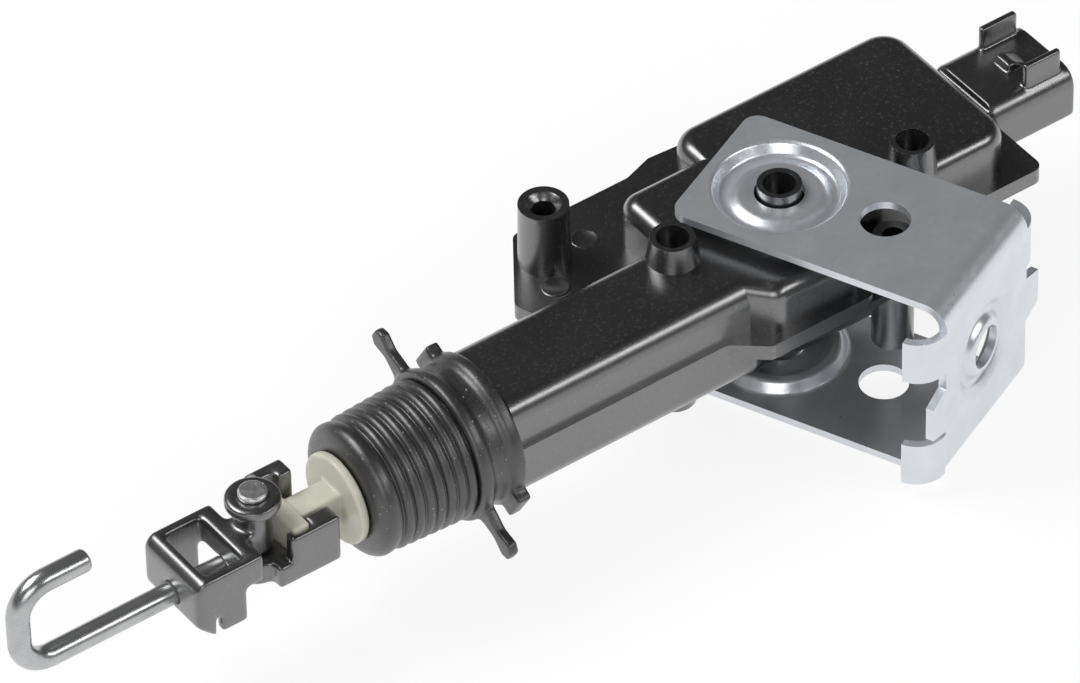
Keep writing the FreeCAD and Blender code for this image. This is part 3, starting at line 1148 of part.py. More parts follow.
def make_boot():
    """Moulds the rubber boot: the collar with its pull ears and the bellows in front of it."""
    collar_front = "0 - barrel_start - collar_length"
    collar_end = "0 - barrel_start - slide_play"
    waist = "collar_width / 2 - collar_waist"
    collar = turned("collar", (
        (collar_front, "nose_width / 2"), (collar_front, "collar_width / 2 - collar_waist / 2"),
        ("%s + collar_waist / 2" % collar_front, "collar_width / 2"),
        ("%s + collar_bead" % collar_front, "collar_width / 2"),
        ("%s + collar_bead + collar_waist" % collar_front, waist),
        ("%s - collar_bead - collar_waist" % collar_end, waist),
        ("%s - collar_bead" % collar_end, "collar_width / 2"), (collar_end, "collar_width / 2"),
        (collar_end, "nose_width / 2"),
    ))
    for sign in ("0 - 1", "1"):
        ear = new_sketch(collar, "YZ_Plane", ("0", "0", "%s + ear_inset" % collar_front))
        root = "(%s) * (collar_width / 2 - collar_waist)" % sign
        shoulder = "(%s) * (ear_reach - ear_width)" % sign
        head = "(%s) * (ear_reach - ear_width / 3)" % sign
        tip = "(%s) * ear_reach" % sign
        draw_polygon(ear, (
            (root, "0 - ear_width / 2"), (shoulder, "0 - ear_neck / 2"), (head, "0 - ear_width / 2"),
            (tip, "0 - ear_width / 4"), (tip, "ear_width / 4"), (head, "ear_width / 2"),
            (shoulder, "ear_neck / 2"), (root, "ear_width / 2"),
        ))
        pad(collar, ear, "ear_thick")
        lump = new_sketch(collar, "YZ_Plane", ("0", "0", "0 - barrel_start - pad_length"))
        draw_polygon(lump, rectangle("(%s) * (collar_width / 2 - 2 * collar_waist)" % sign,
                                     "(%s) * pad_reach" % sign,
                                     "0 - pad_width / 2", "pad_width / 2"))
        pad(collar, lump, "pad_length - slide_play")
    finish_node(collar, "boot_collar", AXIS, (Vector(1, 0, 0), "ear_angle"))

    ridges = int(value("boot_ridges"))
    step = "(boot_start - barrel_start - collar_length) / %d" % ridges
    growth = "(boot_width - boot_end_width) / 2 / %d" % ridges
    lip = "(rod_width / 2 + slide_play)"
    outer = []
    inner = []
    for index in range(ridges):
        start = "0 - boot_start + %d * %s" % (index, step)
        ridge = "(boot_end_width / 2 + %d * %s)" % (index, growth)
        groove = "(%s - boot_groove)" % ridge
        rise, crest, fall, end = ["%s + %s * %g" % (start, step, share) for share in RIDGE_SHARES]
        outer += [(rise, ridge), (crest, ridge), (fall, groove), (end, groove)]
        inner += [(fall, "%s - boot_wall" % groove), (end, "%s - boot_wall" % groove)]
    corners = [("0 - boot_start", lip), ("0 - boot_start", "boot_end_width / 2 - boot_bevel")] + outer
    corners += list(reversed(inner)) + [("0 - boot_start + 2 * boot_wall",
                                         "boot_end_width / 2 - 2.5 * boot_bevel"),
                                        ("0 - boot_start + boot_wall", lip)]
    finish_node(turned("bellows", corners), "boot_bellows", AXIS)


INNER_END = "0 - window_back + slide_play"


def make_link():
    """Makes the swinging link: socket, link pin, rod block and hook rod."""
    low = "link_level - socket_height / 2"
    high = "link_level + socket_height / 2"
    near = "0 - axis_side - link_width / 2"
    far = "0 - axis_side + link_width / 2"
    back = "0 - socket_back"
    far_back = "0 - socket_back - socket_trim"
    far_high = "%s + socket_rise" % high
    floor = "axis_level - tee_height / 2"
    gap = "slide_play / 3"
    tee_back = "0 - tee_front + tee_thick + %s" % gap
    ear_low = "ear_top - ear_plate"
    pin = ("0 - pin_reach", "0 - axis_side")
    notch = block("tee_notch", ("0 - tee_front - %s" % gap, tee_back),
                  ("0 - axis_side - tee_width / 2 - %s" % gap, "0 - axis_side + tee_width / 2 + %s" % gap),
                  (floor, "axis_level + tee_height / 2 + slide_play"))
    parts = [
        block("near_wall", ("0 - socket_front", back), (near, "%s + socket_wall" % near), (low, high)),
        block("far_wall", ("0 - socket_front", far_back), ("%s - socket_wall" % far, far), (low, far_high)),
        block("near_lip", (tee_back, back), (near, "%s + socket_wall + hook_lip / 2" % near), (low, high)),
        block("far_lip", (tee_back, far_back), ("%s - socket_wall - hook_lip / 2" % far, far),
              (low, far_high)),
        block("socket_floor", ("0 - socket_front", tee_back), (near, far), (low, floor)),
        round_boss("upper_ear", pin, ear_low, "ear_top", "2 * ear_radius", "2 * ear_radius"),
        round_boss("lower_ear", pin, low, "block_step - slide_play", "2 * ear_radius", "2 * ear_radius"),
        block("lower_ear_root", ("0 - pin_reach", "0 - tee_front - %s" % gap), (near, far),
              (low, "block_step - slide_play")),
        block("upper_ear_rib", ("0 - pin_reach + socket_gap / 4", "0 - socket_front + socket_gap / 2"),
              ("0 - axis_side + knuckle_width / 2 + slide_play", "%s - socket_wall / 2" % far),
              ("%s - ear_plate" % far_high, "%s + slide_play" % ear_low)),
    ]
    bore = drill("pin_bore", pin, "%s - 1" % low, "ear_top + 1", "pin_width")
    cuts = joined("socket_cuts", (bore, notch))
    finish_node(without("socket_solid", joined("socket_masses", parts), cuts), "plunger_socket")

    shank = new_body("link_pin")
    profile = new_sketch(shank, "XZ_Plane", (pin[0], "0", "axis_side"))
    under = "%s - pin_head_thick" % low
    over = "ear_top + pin_head_thick"
    draw_polygon(profile, (
        ("0", under), ("pin_head / 2", under), ("pin_head / 2", low), ("pin_width / 2", low),
        ("pin_width / 2", "ear_top"), ("pin_head / 2", "ear_top"), ("pin_head / 2", "%s - 0.3" % over),
        ("pin_head / 2 - 0.3", over), ("0", over),
    ))
    spin(shank, profile, "V_Axis")
    finish_node(shank, "link_pin")

    block_near = "0 - axis_side - block_width / 2"
    block_far = "0 - axis_side + block_width / 2"
    body = new_body("block_body")
    side = new_sketch(body, "XZ_Plane", ("0", "0", "axis_side"))
    draw_polygon(side, (
        ("0 - block_front", "block_top - block_chamfer"), ("block_chamfer - block_front", "block_top"),
        ("0 - block_back", "block_top"), ("0 - block_back", "block_step"),
        ("0 - block_back - block_heel", "block_step"), ("0 - block_back - block_heel", "block_bottom"),
        ("block_toe - block_front", "block_bottom"), ("0 - block_front", "block_bottom + block_toe"),
    ))
    pad(body, side, "block_width", both=True)
    round_edges(body, "block_round", both_hold(runs_along(Vector(0, 0, 1)),
                                     lies_at(Vector(1, 0, 0), value("0 - block_front"))))
    window = new_sketch(body, "XY_Plane")
    draw_polygon(window, rectangle("0 - window_front", "0 - window_back", "0 - axis_side - window_width / 2",
                                   "0 - axis_side + window_width / 2"))
    pocket(body, window)
    slot = new_sketch(body, "XZ_Plane")
    draw_polygon(slot, rectangle("slot_setback - block_front",
                                 "slot_setback + slot_width - block_front", "block_bottom - wall",
                                 "block_bottom + slot_depth"))
    pocket(body, slot)
    knuckle_low = "block_step"
    knuckle_high = "ear_top - ear_plate - slide_play"
    knuckle = round_boss("knuckle", pin, knuckle_low, knuckle_high, "knuckle_width", "knuckle_width")
    tongue = block("knuckle_root", ("0 - block_back - 1", "0 - pin_reach"),
                   ("0 - axis_side - knuckle_width / 2", "0 - axis_side + knuckle_width / 2"),
                   (knuckle_low, "block_top"))
    rod_bore = level_drill("rod_bore", "0 - block_front - 1", INNER_END,
                           ("0 - axis_side", "hook_level"), "hook_wire")
    pin_room = drill("pin_room", pin, "%s - 1" % low, "ear_top + 1", "pin_width + 2 * pin_play")
    finish_node(without("rod_block_solid", joined("block_masses", (body, knuckle, tongue)),
                        joined("block_bores", (rod_bore, pin_room))), "rod_block")
    make_hook_rod()


def make_hook_rod():
    """Bends the hook rod from round wire, by a pipe along its centre line."""
    body = new_body("hook_rod")
    path = new_sketch(body, "XZ_Plane", ("0", "0", "axis_side"))
    low, high = value("hook_level"), value("hook_level + hook_rise")
    front, bend = value("0 - hook_front"), value("hook_bend")
    inner = value(INNER_END)
    tip = value("0 - hook_tip")
    lower_centre = Vector(front + bend, low + bend, 0)
    upper_centre = Vector(front + bend, high - bend, 0)
    up = Vector(0, 0, 1)
    path.addGeometry(Part.LineSegment(Vector(inner, low, 0), Vector(front + bend, low, 0)), False)
    path.addGeometry(Part.ArcOfCircle(Part.Circle(lower_centre, up, bend), math.pi, 1.5 * math.pi), False)
    path.addGeometry(Part.LineSegment(Vector(front, low + bend, 0), Vector(front, high - bend, 0)), False)
    path.addGeometry(Part.ArcOfCircle(Part.Circle(upper_centre, up, bend), 0.5 * math.pi, math.pi), False)
    path.addGeometry(Part.LineSegment(Vector(front + bend, high, 0), Vector(tip, high, 0)), False)
    for curve, end, following, start in ((0, 2, 1, 2), (1, 1, 2, 1), (2, 2, 3, 2), (3, 1, 4, 1)):
        path.addConstraint(Sketcher.Constraint("Coincident", curve, end, following, start))
    corner = "0 - hook_front + hook_bend"
    top = "hook_level + hook_rise"
    pin_point(path, 0, 1, (INNER_END, "hook_level"))
    pin_point(path, 0, 2, (corner, "hook_level"))
    pin_point(path, 1, 3, (corner, "hook_level + hook_bend"))
    pin_axis(path, "DistanceY", 1, 1, "hook_level + hook_bend")
    pin_point(path, 3, 2, ("0 - hook_front", "%s - hook_bend" % top))
    pin_point(path, 3, 3, (corner, "%s - hook_bend" % top))
    pin_axis(path, "DistanceX", 4, 1, corner)
    pin_point(path, 4, 2, ("0 - hook_tip", top))
    section = new_sketch(body, "YZ_Plane", ("0 - axis_side", "hook_level", INNER_END))
    draw_circle(section, ("0", "0"), "hook_wire")
    pipe = body.newObject("PartDesign::AdditivePipe", "hook_pipe")
    pipe.Profile = section
    pipe.Spine = path
    doc.recompute()
    tip_face = value("0 - hook_tip")
    chamfer = body.newObject("PartDesign::Chamfer", "hook_tip_chamfer")
    names = ["Edge%d" % number for number, edge in enumerate(pipe.Shape.Edges, 1)
             if abs(edge.CenterOfMass.x - tip_face) < SAME_PLACE and abs(edge.BoundBox.XLength) < SAME_PLACE]
    chamfer.Base = (pipe, names)
    bind(chamfer, "Size", "tip_bevel")
    doc.recompute()
    finish_node(body, "hook_rod")


def check_and_write():
    """Checks every object of the document and writes one file for each sub-part."""
    doc.recompute()
    broken = [thing.Name for thing in doc.Objects if "Invalid" in thing.State or "Error" in thing.State]
    if broken:
        raise ValueError("not sound: %s" % ", ".join(broken))
    os.makedirs("parts", exist_ok=True)
    for node in NODES:
        if node.Shape.isNull() or not node.Shape.isValid():
            raise ValueError("%s has no valid shape" % node.Label)
        node.Shape.exportStep("parts/%s.step" % node.Label)
        print("%-18s %2d solids %10.1f mm3" % (node.Label, len(node.Shape.Solids), node.Shape.Volume))


fill_sheet()
make_bracket()
make_upper_housing()
make_lower_housing()
make_connector()
make_contact_strips()
make_motor()
make_drive()
make_plunger()
make_boot()
make_link()
check_and_write()
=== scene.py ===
"""Dresses the door latch actuator: finishes, rubber boot, mouldings, bracket, link and studio."""
import json
import logging
import math
from dataclasses import dataclass, field
from enum import Enum
from functools import partial

import bmesh
import bpy
from mathutils import Matrix, Vector
from mathutils.bvhtree import BVHTree


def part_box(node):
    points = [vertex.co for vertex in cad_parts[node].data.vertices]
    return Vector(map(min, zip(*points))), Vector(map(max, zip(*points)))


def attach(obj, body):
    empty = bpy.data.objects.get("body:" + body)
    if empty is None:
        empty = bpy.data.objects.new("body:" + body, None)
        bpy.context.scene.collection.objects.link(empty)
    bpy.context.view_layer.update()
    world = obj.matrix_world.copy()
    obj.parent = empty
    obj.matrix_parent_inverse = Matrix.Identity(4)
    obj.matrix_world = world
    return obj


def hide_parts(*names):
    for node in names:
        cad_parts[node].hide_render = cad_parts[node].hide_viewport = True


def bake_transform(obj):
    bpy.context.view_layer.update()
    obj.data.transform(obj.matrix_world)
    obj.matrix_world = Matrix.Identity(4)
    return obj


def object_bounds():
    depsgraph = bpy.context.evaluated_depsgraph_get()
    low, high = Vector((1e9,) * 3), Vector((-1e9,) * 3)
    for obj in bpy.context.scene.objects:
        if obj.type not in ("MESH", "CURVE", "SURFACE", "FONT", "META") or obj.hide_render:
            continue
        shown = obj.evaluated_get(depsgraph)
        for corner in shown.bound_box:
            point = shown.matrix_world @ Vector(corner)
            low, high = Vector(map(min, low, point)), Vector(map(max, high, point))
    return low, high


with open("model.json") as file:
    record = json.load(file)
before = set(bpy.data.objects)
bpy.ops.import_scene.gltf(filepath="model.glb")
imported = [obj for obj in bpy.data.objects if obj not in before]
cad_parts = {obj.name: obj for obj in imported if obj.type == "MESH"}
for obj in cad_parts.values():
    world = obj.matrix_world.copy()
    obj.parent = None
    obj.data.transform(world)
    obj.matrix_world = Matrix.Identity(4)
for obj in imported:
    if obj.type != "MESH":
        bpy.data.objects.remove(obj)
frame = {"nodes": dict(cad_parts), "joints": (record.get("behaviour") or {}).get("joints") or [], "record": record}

CAD_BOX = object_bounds()
LOG = logging.getLogger("door_latch_actuator")
MM = 0.001

# Corners that lie nearer than this are one corner
SAME_CORNER = 0.001 * MM
# Faces that turn less than this, in degrees, are one flat face
FLAT_ANGLE = 0.5
# Edges that turn more than this, in degrees, are rounded
EDGE_ANGLE = 28.0
# Edges that turn more than this, in degrees, are shaded sharp
SHARP_ANGLE = 36.0
# The same two measures for the corners and edges of a turned shape
TURNED_CORNER = 0.0005 * MM
TURNED_SHARP_ANGLE = 40.0
# How strongly large faces hold the shading of a rounded mesh
LARGE_FACE_WEIGHT = 90
# Most of a noise lies between these levels
NOISE_LOW, NOISE_HIGH = 0.3, 0.7

Colour = tuple[float, float, float]
Pair = tuple[float, float]
# Pairs of an old and a new place, or of a place and a lift, in millimetres
Stops = tuple[Pair, ...]


class Relief(Enum):
    """How the fine relief of a surface runs."""

    EVEN = (1.0, 1.0, 1.0)
    ALONG_X = (0.05, 1.0, 1.0)


class NodeSheet:
    """A material's node tree with short calls to add and join its nodes."""

    def __init__(self, name: str) -> None:
        """Starts a material with a Principled shader.

        Args:
            name: name of the material.
        """
        self.material = bpy.data.materials.new(name)
        self.material.use_nodes = True
        self.tree = self.material.node_tree
        self.shader = self.tree.nodes["Principled BSDF"]
        self.coordinates = self.tree.nodes.new("ShaderNodeTexCoord")

    def add(self, kind: str, **inputs: float) -> bpy.types.Node:
        """Adds a node and sets its named inputs.

        Args:
            kind: Blender's name of the node type.
            inputs: values by socket name, with blanks as underscores.

        Returns:
            The new node.
        """
        node = self.tree.nodes.new(kind)
        for name, setting in inputs.items():
            node.inputs[name.replace("_", " ")].default_value = setting
        return node

    def set_shader(self, **inputs: object) -> None:
        """Sets inputs of the shader, by socket name with blanks as underscores."""
        for name, setting in inputs.items():
            self.shader.inputs[name.replace("_", " ")].default_value = setting

    def drive(self, name: str, source: bpy.types.NodeSocket) -> None:
        """Joins a socket to the named input of the shader."""
        self.tree.links.new(source, self.shader.inputs[name])

    def noise(self, scale: float, detail: float, relief: Relief = Relief.EVEN,
              roughness: float = 0.55) -> bpy.types.NodeSocket:
        """Adds noise on Object coordinates.

        Args:
            scale: cells to the metre.
            detail: octaves of the noise.
            relief: direction along which the pattern is drawn out.
            roughness: weight of the finer octaves.

        Returns:
            The factor socket of the noise.
        """
        mapping = self.tree.nodes.new("ShaderNodeMapping")
        mapping.inputs["Scale"].default_value = relief.value
        self.tree.links.new(self.coordinates.outputs["Object"], mapping.inputs["Vector"])
        texture = self.add("ShaderNodeTexNoise", Scale=scale, Detail=detail, Roughness=roughness)
        self.tree.links.new(mapping.outputs["Vector"], texture.inputs["Vector"])
        return texture.outputs["Fac"]

    def ramp(self, factor: bpy.types.NodeSocket, low: tuple[float, Colour],
             high: tuple[float, Colour]) -> bpy.types.NodeSocket:
        """Adds a colour ramp between two stops.

        Args:
            factor: socket that drives the ramp.
            low: place and colour of the lower stop.
            high: place and colour of the upper stop.

        Returns:
            The colour socket of the ramp.
        """
        node = self.tree.nodes.new("ShaderNodeValToRGB")
        for element, (place, colour) in zip(node.color_ramp.elements, (low, high)):
            element.position = place
            element.color = (*colour, 1.0)
        self.tree.links.new(factor, node.inputs["Fac"])
        return node.outputs["Color"]

    def spread(self, factor: bpy.types.NodeSocket, low: float, high: float) -> bpy.types.NodeSocket:
        """Spreads a noise factor over a range.

        Args:
            factor: socket with the noise.
            low: value at the noise's dark end.
            high: value at its bright end.

        Returns:
            The result socket.
        """
        node = self.add("ShaderNodeMapRange", From_Min=NOISE_LOW, From_Max=NOISE_HIGH, To_Min=low,
                        To_Max=high)
        self.tree.links.new(factor, node.inputs["Value"])
        return node.outputs["Result"]

    def bump(self, height: bpy.types.NodeSocket, strength: float, depth: float) -> None:
        """Raises the surface by a height.

        Args:
            height: socket with the height.
            strength: share of the bump.
            depth: height of the bump in metres.
        """
        node = self.add("ShaderNodeBump", Strength=strength, Distance=depth)
        self.tree.links.new(height, node.inputs["Height"])
        self.drive("Normal", node.outputs["Normal"])


@dataclass(frozen=True)
class MouldedFinish:
    """Moulded plastic with a glossy skin and the fine speckle of its glass filling."""

    name: str
    colour: Colour
    speckle: Colour
    rough: Pair
    grain: float = 1700.0
    cloud: float = 70.0
    specular: float = 1.0
    gloss: float = 0.8
    gloss_index: float = 2.2
    relief: float = 0.5
    relief_depth: float = 0.07 * MM

    def build(self) -> bpy.types.Material:
        """Builds the material.

        Returns:
            The new material.
        """
        sheet = NodeSheet(self.name)
        fine = sheet.noise(self.grain, detail=4.0, roughness=0.7)
        broad = sheet.noise(self.cloud, detail=3.0)
        sheet.drive("Base Color", sheet.ramp(fine, (0.56, self.colour), (0.72, self.speckle)))
        sheet.drive("Roughness", sheet.spread(broad, *self.rough))
        sheet.set_shader(Specular_IOR_Level=self.specular, Coat_Weight=self.gloss,
                         Coat_Roughness=self.rough[0], Coat_IOR=self.gloss_index)
        sheet.bump(fine, self.relief, self.relief_depth)
        return sheet.material


@dataclass(frozen=True)
class RubberFinish:
    """Black rubber with a soft sheen and a few specks of dust."""

    name: str
    colour: Colour
    dust: Colour
    rough: Pair = (0.34, 0.5)
    grain: float = 1800.0
    dust_grain: float = 2300.0
    specular: float = 1.0
    gloss: float = 0.5
    gloss_rough: float = 0.4
    relief: float = 0.4
    relief_depth: float = 0.04 * MM

    def build(self) -> bpy.types.Material:
        """Builds the material.

        Returns:
            The new material.
        """
        sheet = NodeSheet(self.name)
        fine = sheet.noise(self.grain, detail=3.0)
        specks = sheet.noise(self.dust_grain, detail=1.0, roughness=0.4)
        sheet.drive("Base Color", sheet.ramp(specks, (0.735, self.colour), (0.77, self.dust)))
        sheet.drive("Roughness", sheet.spread(fine, *self.rough))
        sheet.set_shader(Specular_IOR_Level=self.specular, Coat_Weight=self.gloss,
                         Coat_Roughness=self.gloss_rough)
        sheet.bump(fine, self.relief, self.relief_depth)
        return sheet.material


@dataclass(frozen=True)
class MetalFinish:
    """Metal with drawn or rolled relief and cloudy plating."""

    name: str
    light: Colour
    dark: Colour
    rough: Pair
    run: Relief = Relief.EVEN
    grain: float = 900.0
    cloud: float = 160.0
    metallic: float = 1.0
    relief: float = 0.25
    relief_depth: float = 0.02 * MM

    def build(self) -> bpy.types.Material:
        """Builds the material.

        Returns:
            The new material.
        """
        sheet = NodeSheet(self.name)
        cloud = sheet.noise(self.cloud, detail=4.0)
        lines = sheet.noise(self.grain, detail=5.0, relief=self.run, roughness=0.65)
        sheet.drive("Base Color", sheet.ramp(cloud, (0.3, self.dark), (0.68, self.light)))
        sheet.drive("Roughness", sheet.spread(lines, *self.rough))
        sheet.set_shader(Metallic=self.metallic)
        sheet.bump(lines, self.relief, self.relief_depth)
        return sheet.material


@dataclass(frozen=True)
class NylonFinish:
    """Natural nylon, which lets light in below its surface."""

    name: str
    light: Colour
    dark: Colour
    rough: Pair = (0.28, 0.4)
    grain: float = 1500.0
    cloud: float = 240.0
    glow: float = 0.35
    glow_depths: Colour = (2.2 * MM, 1.8 * MM, 1.2 * MM)
    relief: float = 0.15
    relief_depth: float = 0.02 * MM

    def build(self) -> bpy.types.Material:
        """Builds the material.

        Returns:
            The new material.
        """
        sheet = NodeSheet(self.name)
        cloud = sheet.noise(self.cloud, detail=3.0)
        fine = sheet.noise(self.grain, detail=2.0)
        sheet.drive("Base Color", sheet.ramp(cloud, (0.3, self.dark), (0.7, self.light)))
        sheet.drive("Roughness", sheet.spread(fine, *self.rough))
        sheet.set_shader(Subsurface_Weight=self.glow, Subsurface_Radius=self.glow_depths,
                         Subsurface_Scale=1.0)
        sheet.bump(fine, self.relief, self.relief_depth)
        return sheet.material


FINISHES = (
    MouldedFinish("housing_plastic", (0.006, 0.006, 0.0065), (0.06, 0.06, 0.062), (0.26, 0.38)),
    MouldedFinish("connector_plastic", (0.006, 0.006, 0.0065), (0.05, 0.05, 0.052), (0.28, 0.4)),
    MouldedFinish("link_plastic", (0.012, 0.012, 0.0125), (0.07, 0.07, 0.07), (0.28, 0.4)),
    RubberFinish("boot_rubber", (0.014, 0.014, 0.015), (0.34, 0.33, 0.31)),
    NylonFinish("plunger_nylon", (0.58, 0.57, 0.49), (0.52, 0.51, 0.43)),
    NylonFinish("gear_nylon", (0.82, 0.81, 0.76), (0.74, 0.73, 0.68)),
    MetalFinish("bracket_zinc", (0.74, 0.77, 0.81), (0.68, 0.71, 0.75), (0.27, 0.37), metallic=0.76,
                relief=0.16),
    MetalFinish("wire_steel", (0.53, 0.535, 0.54), (0.4, 0.405, 0.41), (0.2, 0.36), Relief.ALONG_X,
                metallic=0.9, relief=0.4),
    MetalFinish("rivet_metal", (0.80, 0.80, 0.81), (0.66, 0.66, 0.68), (0.3, 0.42)),
    MetalFinish("shaft_steel", (0.66, 0.66, 0.68), (0.52, 0.52, 0.54), (0.18, 0.3), Relief.ALONG_X),
    MetalFinish("motor_steel", (0.68, 0.69, 0.70), (0.55, 0.56, 0.57), (0.26, 0.4)),
    MouldedFinish("motor_cap_plastic", (0.62, 0.61, 0.57), (0.7, 0.69, 0.65), (0.4, 0.5)),
    MouldedFinish("magnet_ferrite", (0.06, 0.06, 0.063), (0.1, 0.1, 0.1), (0.55, 0.7)),
    MetalFinish("armature_copper", (0.72, 0.38, 0.22), (0.45, 0.22, 0.12), (0.25, 0.4)),
    MetalFinish("sintered_bronze", (0.62, 0.46, 0.25), (0.48, 0.35, 0.19), (0.4, 0.55)),
    MetalFinish("terminal_brass", (0.82, 0.68, 0.36), (0.7, 0.56, 0.28), (0.2, 0.32)),
)


def placed(name: str, data: bpy.types.ID) -> bpy.types.Object:
    """Makes an object of its data and puts it in the scene.

    Args:
        name: name of the object.
        data: its mesh, lamp or camera.

    Returns:
        The new object.
    """
    thing = bpy.data.objects.new(name, data)
    bpy.context.scene.collection.objects.link(thing)
    return thing


def settled(thing: bpy.types.Object) -> bpy.types.Mesh:
    """Applies an object's modifiers and removes the object.

    Args:
        thing: object with live modifiers.

    Returns:
        A new plain mesh.
    """
    bpy.context.view_layer.update()
    graph = bpy.context.evaluated_depsgraph_get()
    mesh = bpy.data.meshes.new_from_object(thing.evaluated_get(graph), depsgraph=graph)
    bpy.data.objects.remove(thing)
    return mesh


def shade_smooth(mesh: bpy.types.Mesh) -> None:
    """Shades every face of a mesh smooth."""
    mesh.polygons.foreach_set("use_smooth", [True] * len(mesh.polygons))


def melted_mesh(mesh: bpy.types.Mesh, cell: float, passes: int) -> bpy.types.Mesh:
    """Gives a mesh the soft shape of a thick moulding, with every edge and corner rounded.

    Args:
        mesh: mesh to soften.
        cell: size of the cells that the shape is rebuilt from, in metres.
        passes: number of smoothing passes, each of which rounds further.

    Returns:
        The softened mesh.
    """
    holder = placed("holder", mesh)
    rebuild = holder.modifiers.new("rebuild", "REMESH")
    rebuild.mode = "VOXEL"
    rebuild.voxel_size = cell
    smooth = holder.modifiers.new("smooth", "SMOOTH")
    smooth.factor = 0.5
    smooth.iterations = passes
    result = settled(holder)
    shade_smooth(result)
    return result


def rounded_mesh(mesh: bpy.types.Mesh, width: float, steps: int = 2,
                 by_weight: bool = False) -> bpy.types.Mesh:
    """Rounds a mesh's edges and shades it smooth, with its flat faces kept flat.

    Args:
        mesh: mesh to round.
        width: width of the rounding, in metres.
        steps: steps across the rounding.
        by_weight: whether the edges' bevel weights say what is rounded, in place of their angle.

    Returns:
        The rounded mesh.
    """
    holder = placed("holder", mesh)
    bevel = holder.modifiers.new("round", "BEVEL")
    bevel.width = width
    bevel.segments = steps
    bevel.limit_method = "WEIGHT" if by_weight else "ANGLE"
    bevel.angle_limit = math.radians(EDGE_ANGLE)
    bevel.use_clamp_overlap = not by_weight
    rounded = settled(holder)
    shade_smooth(rounded)
    rounded.set_sharp_from_angle(angle=math.radians(SHARP_ANGLE))
    holder = placed("holder", rounded)
    level = holder.modifiers.new("level", "WEIGHTED_NORMAL")
    level.keep_sharp = True
    level.weight = LARGE_FACE_WEIGHT
    return settled(holder)


def turned_mesh(profile: list[Pair], centre: Vector, steps: int = 48) -> bpy.types.Mesh:
    """Turns a profile that starts and ends on an upright axis.

    Args:
        profile: radii and heights, in metres.
        centre: foot of the axis.
        steps: faces round the axis.

    Returns:
        The turned mesh.
    """
    work = bmesh.new()
    rings = []
    for step in range(steps):
        turn = 2 * math.pi * step / steps
        ahead, aside = math.cos(turn), math.sin(turn)
        rings.append([work.verts.new(centre + Vector((radius * ahead, radius * aside, height)))
                      for radius, height in profile])
    for step, ring in enumerate(rings):
        following = rings[(step + 1) % steps]
        for index in range(len(profile) - 1):
            work.faces.new((ring[index], following[index], following[index + 1], ring[index + 1]))
    bmesh.ops.remove_doubles(work, verts=work.verts, dist=TURNED_CORNER)
    bmesh.ops.recalc_face_normals(work, faces=work.faces)
    mesh = bpy.data.meshes.new("turned")
    work.to_mesh(mesh)
    work.free()
    shade_smooth(mesh)
    mesh.set_sharp_from_angle(angle=math.radians(TURNED_SHARP_ANGLE))
    return mesh


def stretched(place: float, stops: Stops) -> float:
    """Reads the value at a place from a line of stops, drawn straight from each stop to the next.

    Args:
        place: place along the line.
        stops: pairs of a place and its value, in order.

    Returns:
        The value at the place.
    """
    for (start, start_value), (end, end_value) in zip(stops, stops[1:]):
        if place <= end:
            break
    return start_value + (place - start) / (end - start) * (end_value - start_value)


def math_node(tree: bpy.types.NodeTree, kind: str, *terms: float | bpy.types.NodeSocket,
              clamp: bool = False) -> bpy.types.NodeSocket:
    """Adds a Math node.

    Args:
        tree: node tree to add it to.
        kind: Blender's name of the operation.
        terms: sockets or numbers, in the order of the node's inputs.
        clamp: whether the value is kept between 0 and 1.

    Returns:
        The value socket of the node.
    """
    node = tree.nodes.new("ShaderNodeMath")
    node.operation = kind
    node.use_clamp = clamp
    for slot, term in zip(node.inputs, terms):
        if isinstance(term, bpy.types.NodeSocket):
            tree.links.new(term, slot)
        else:
            slot.default_value = term
    return node.outputs["Value"]


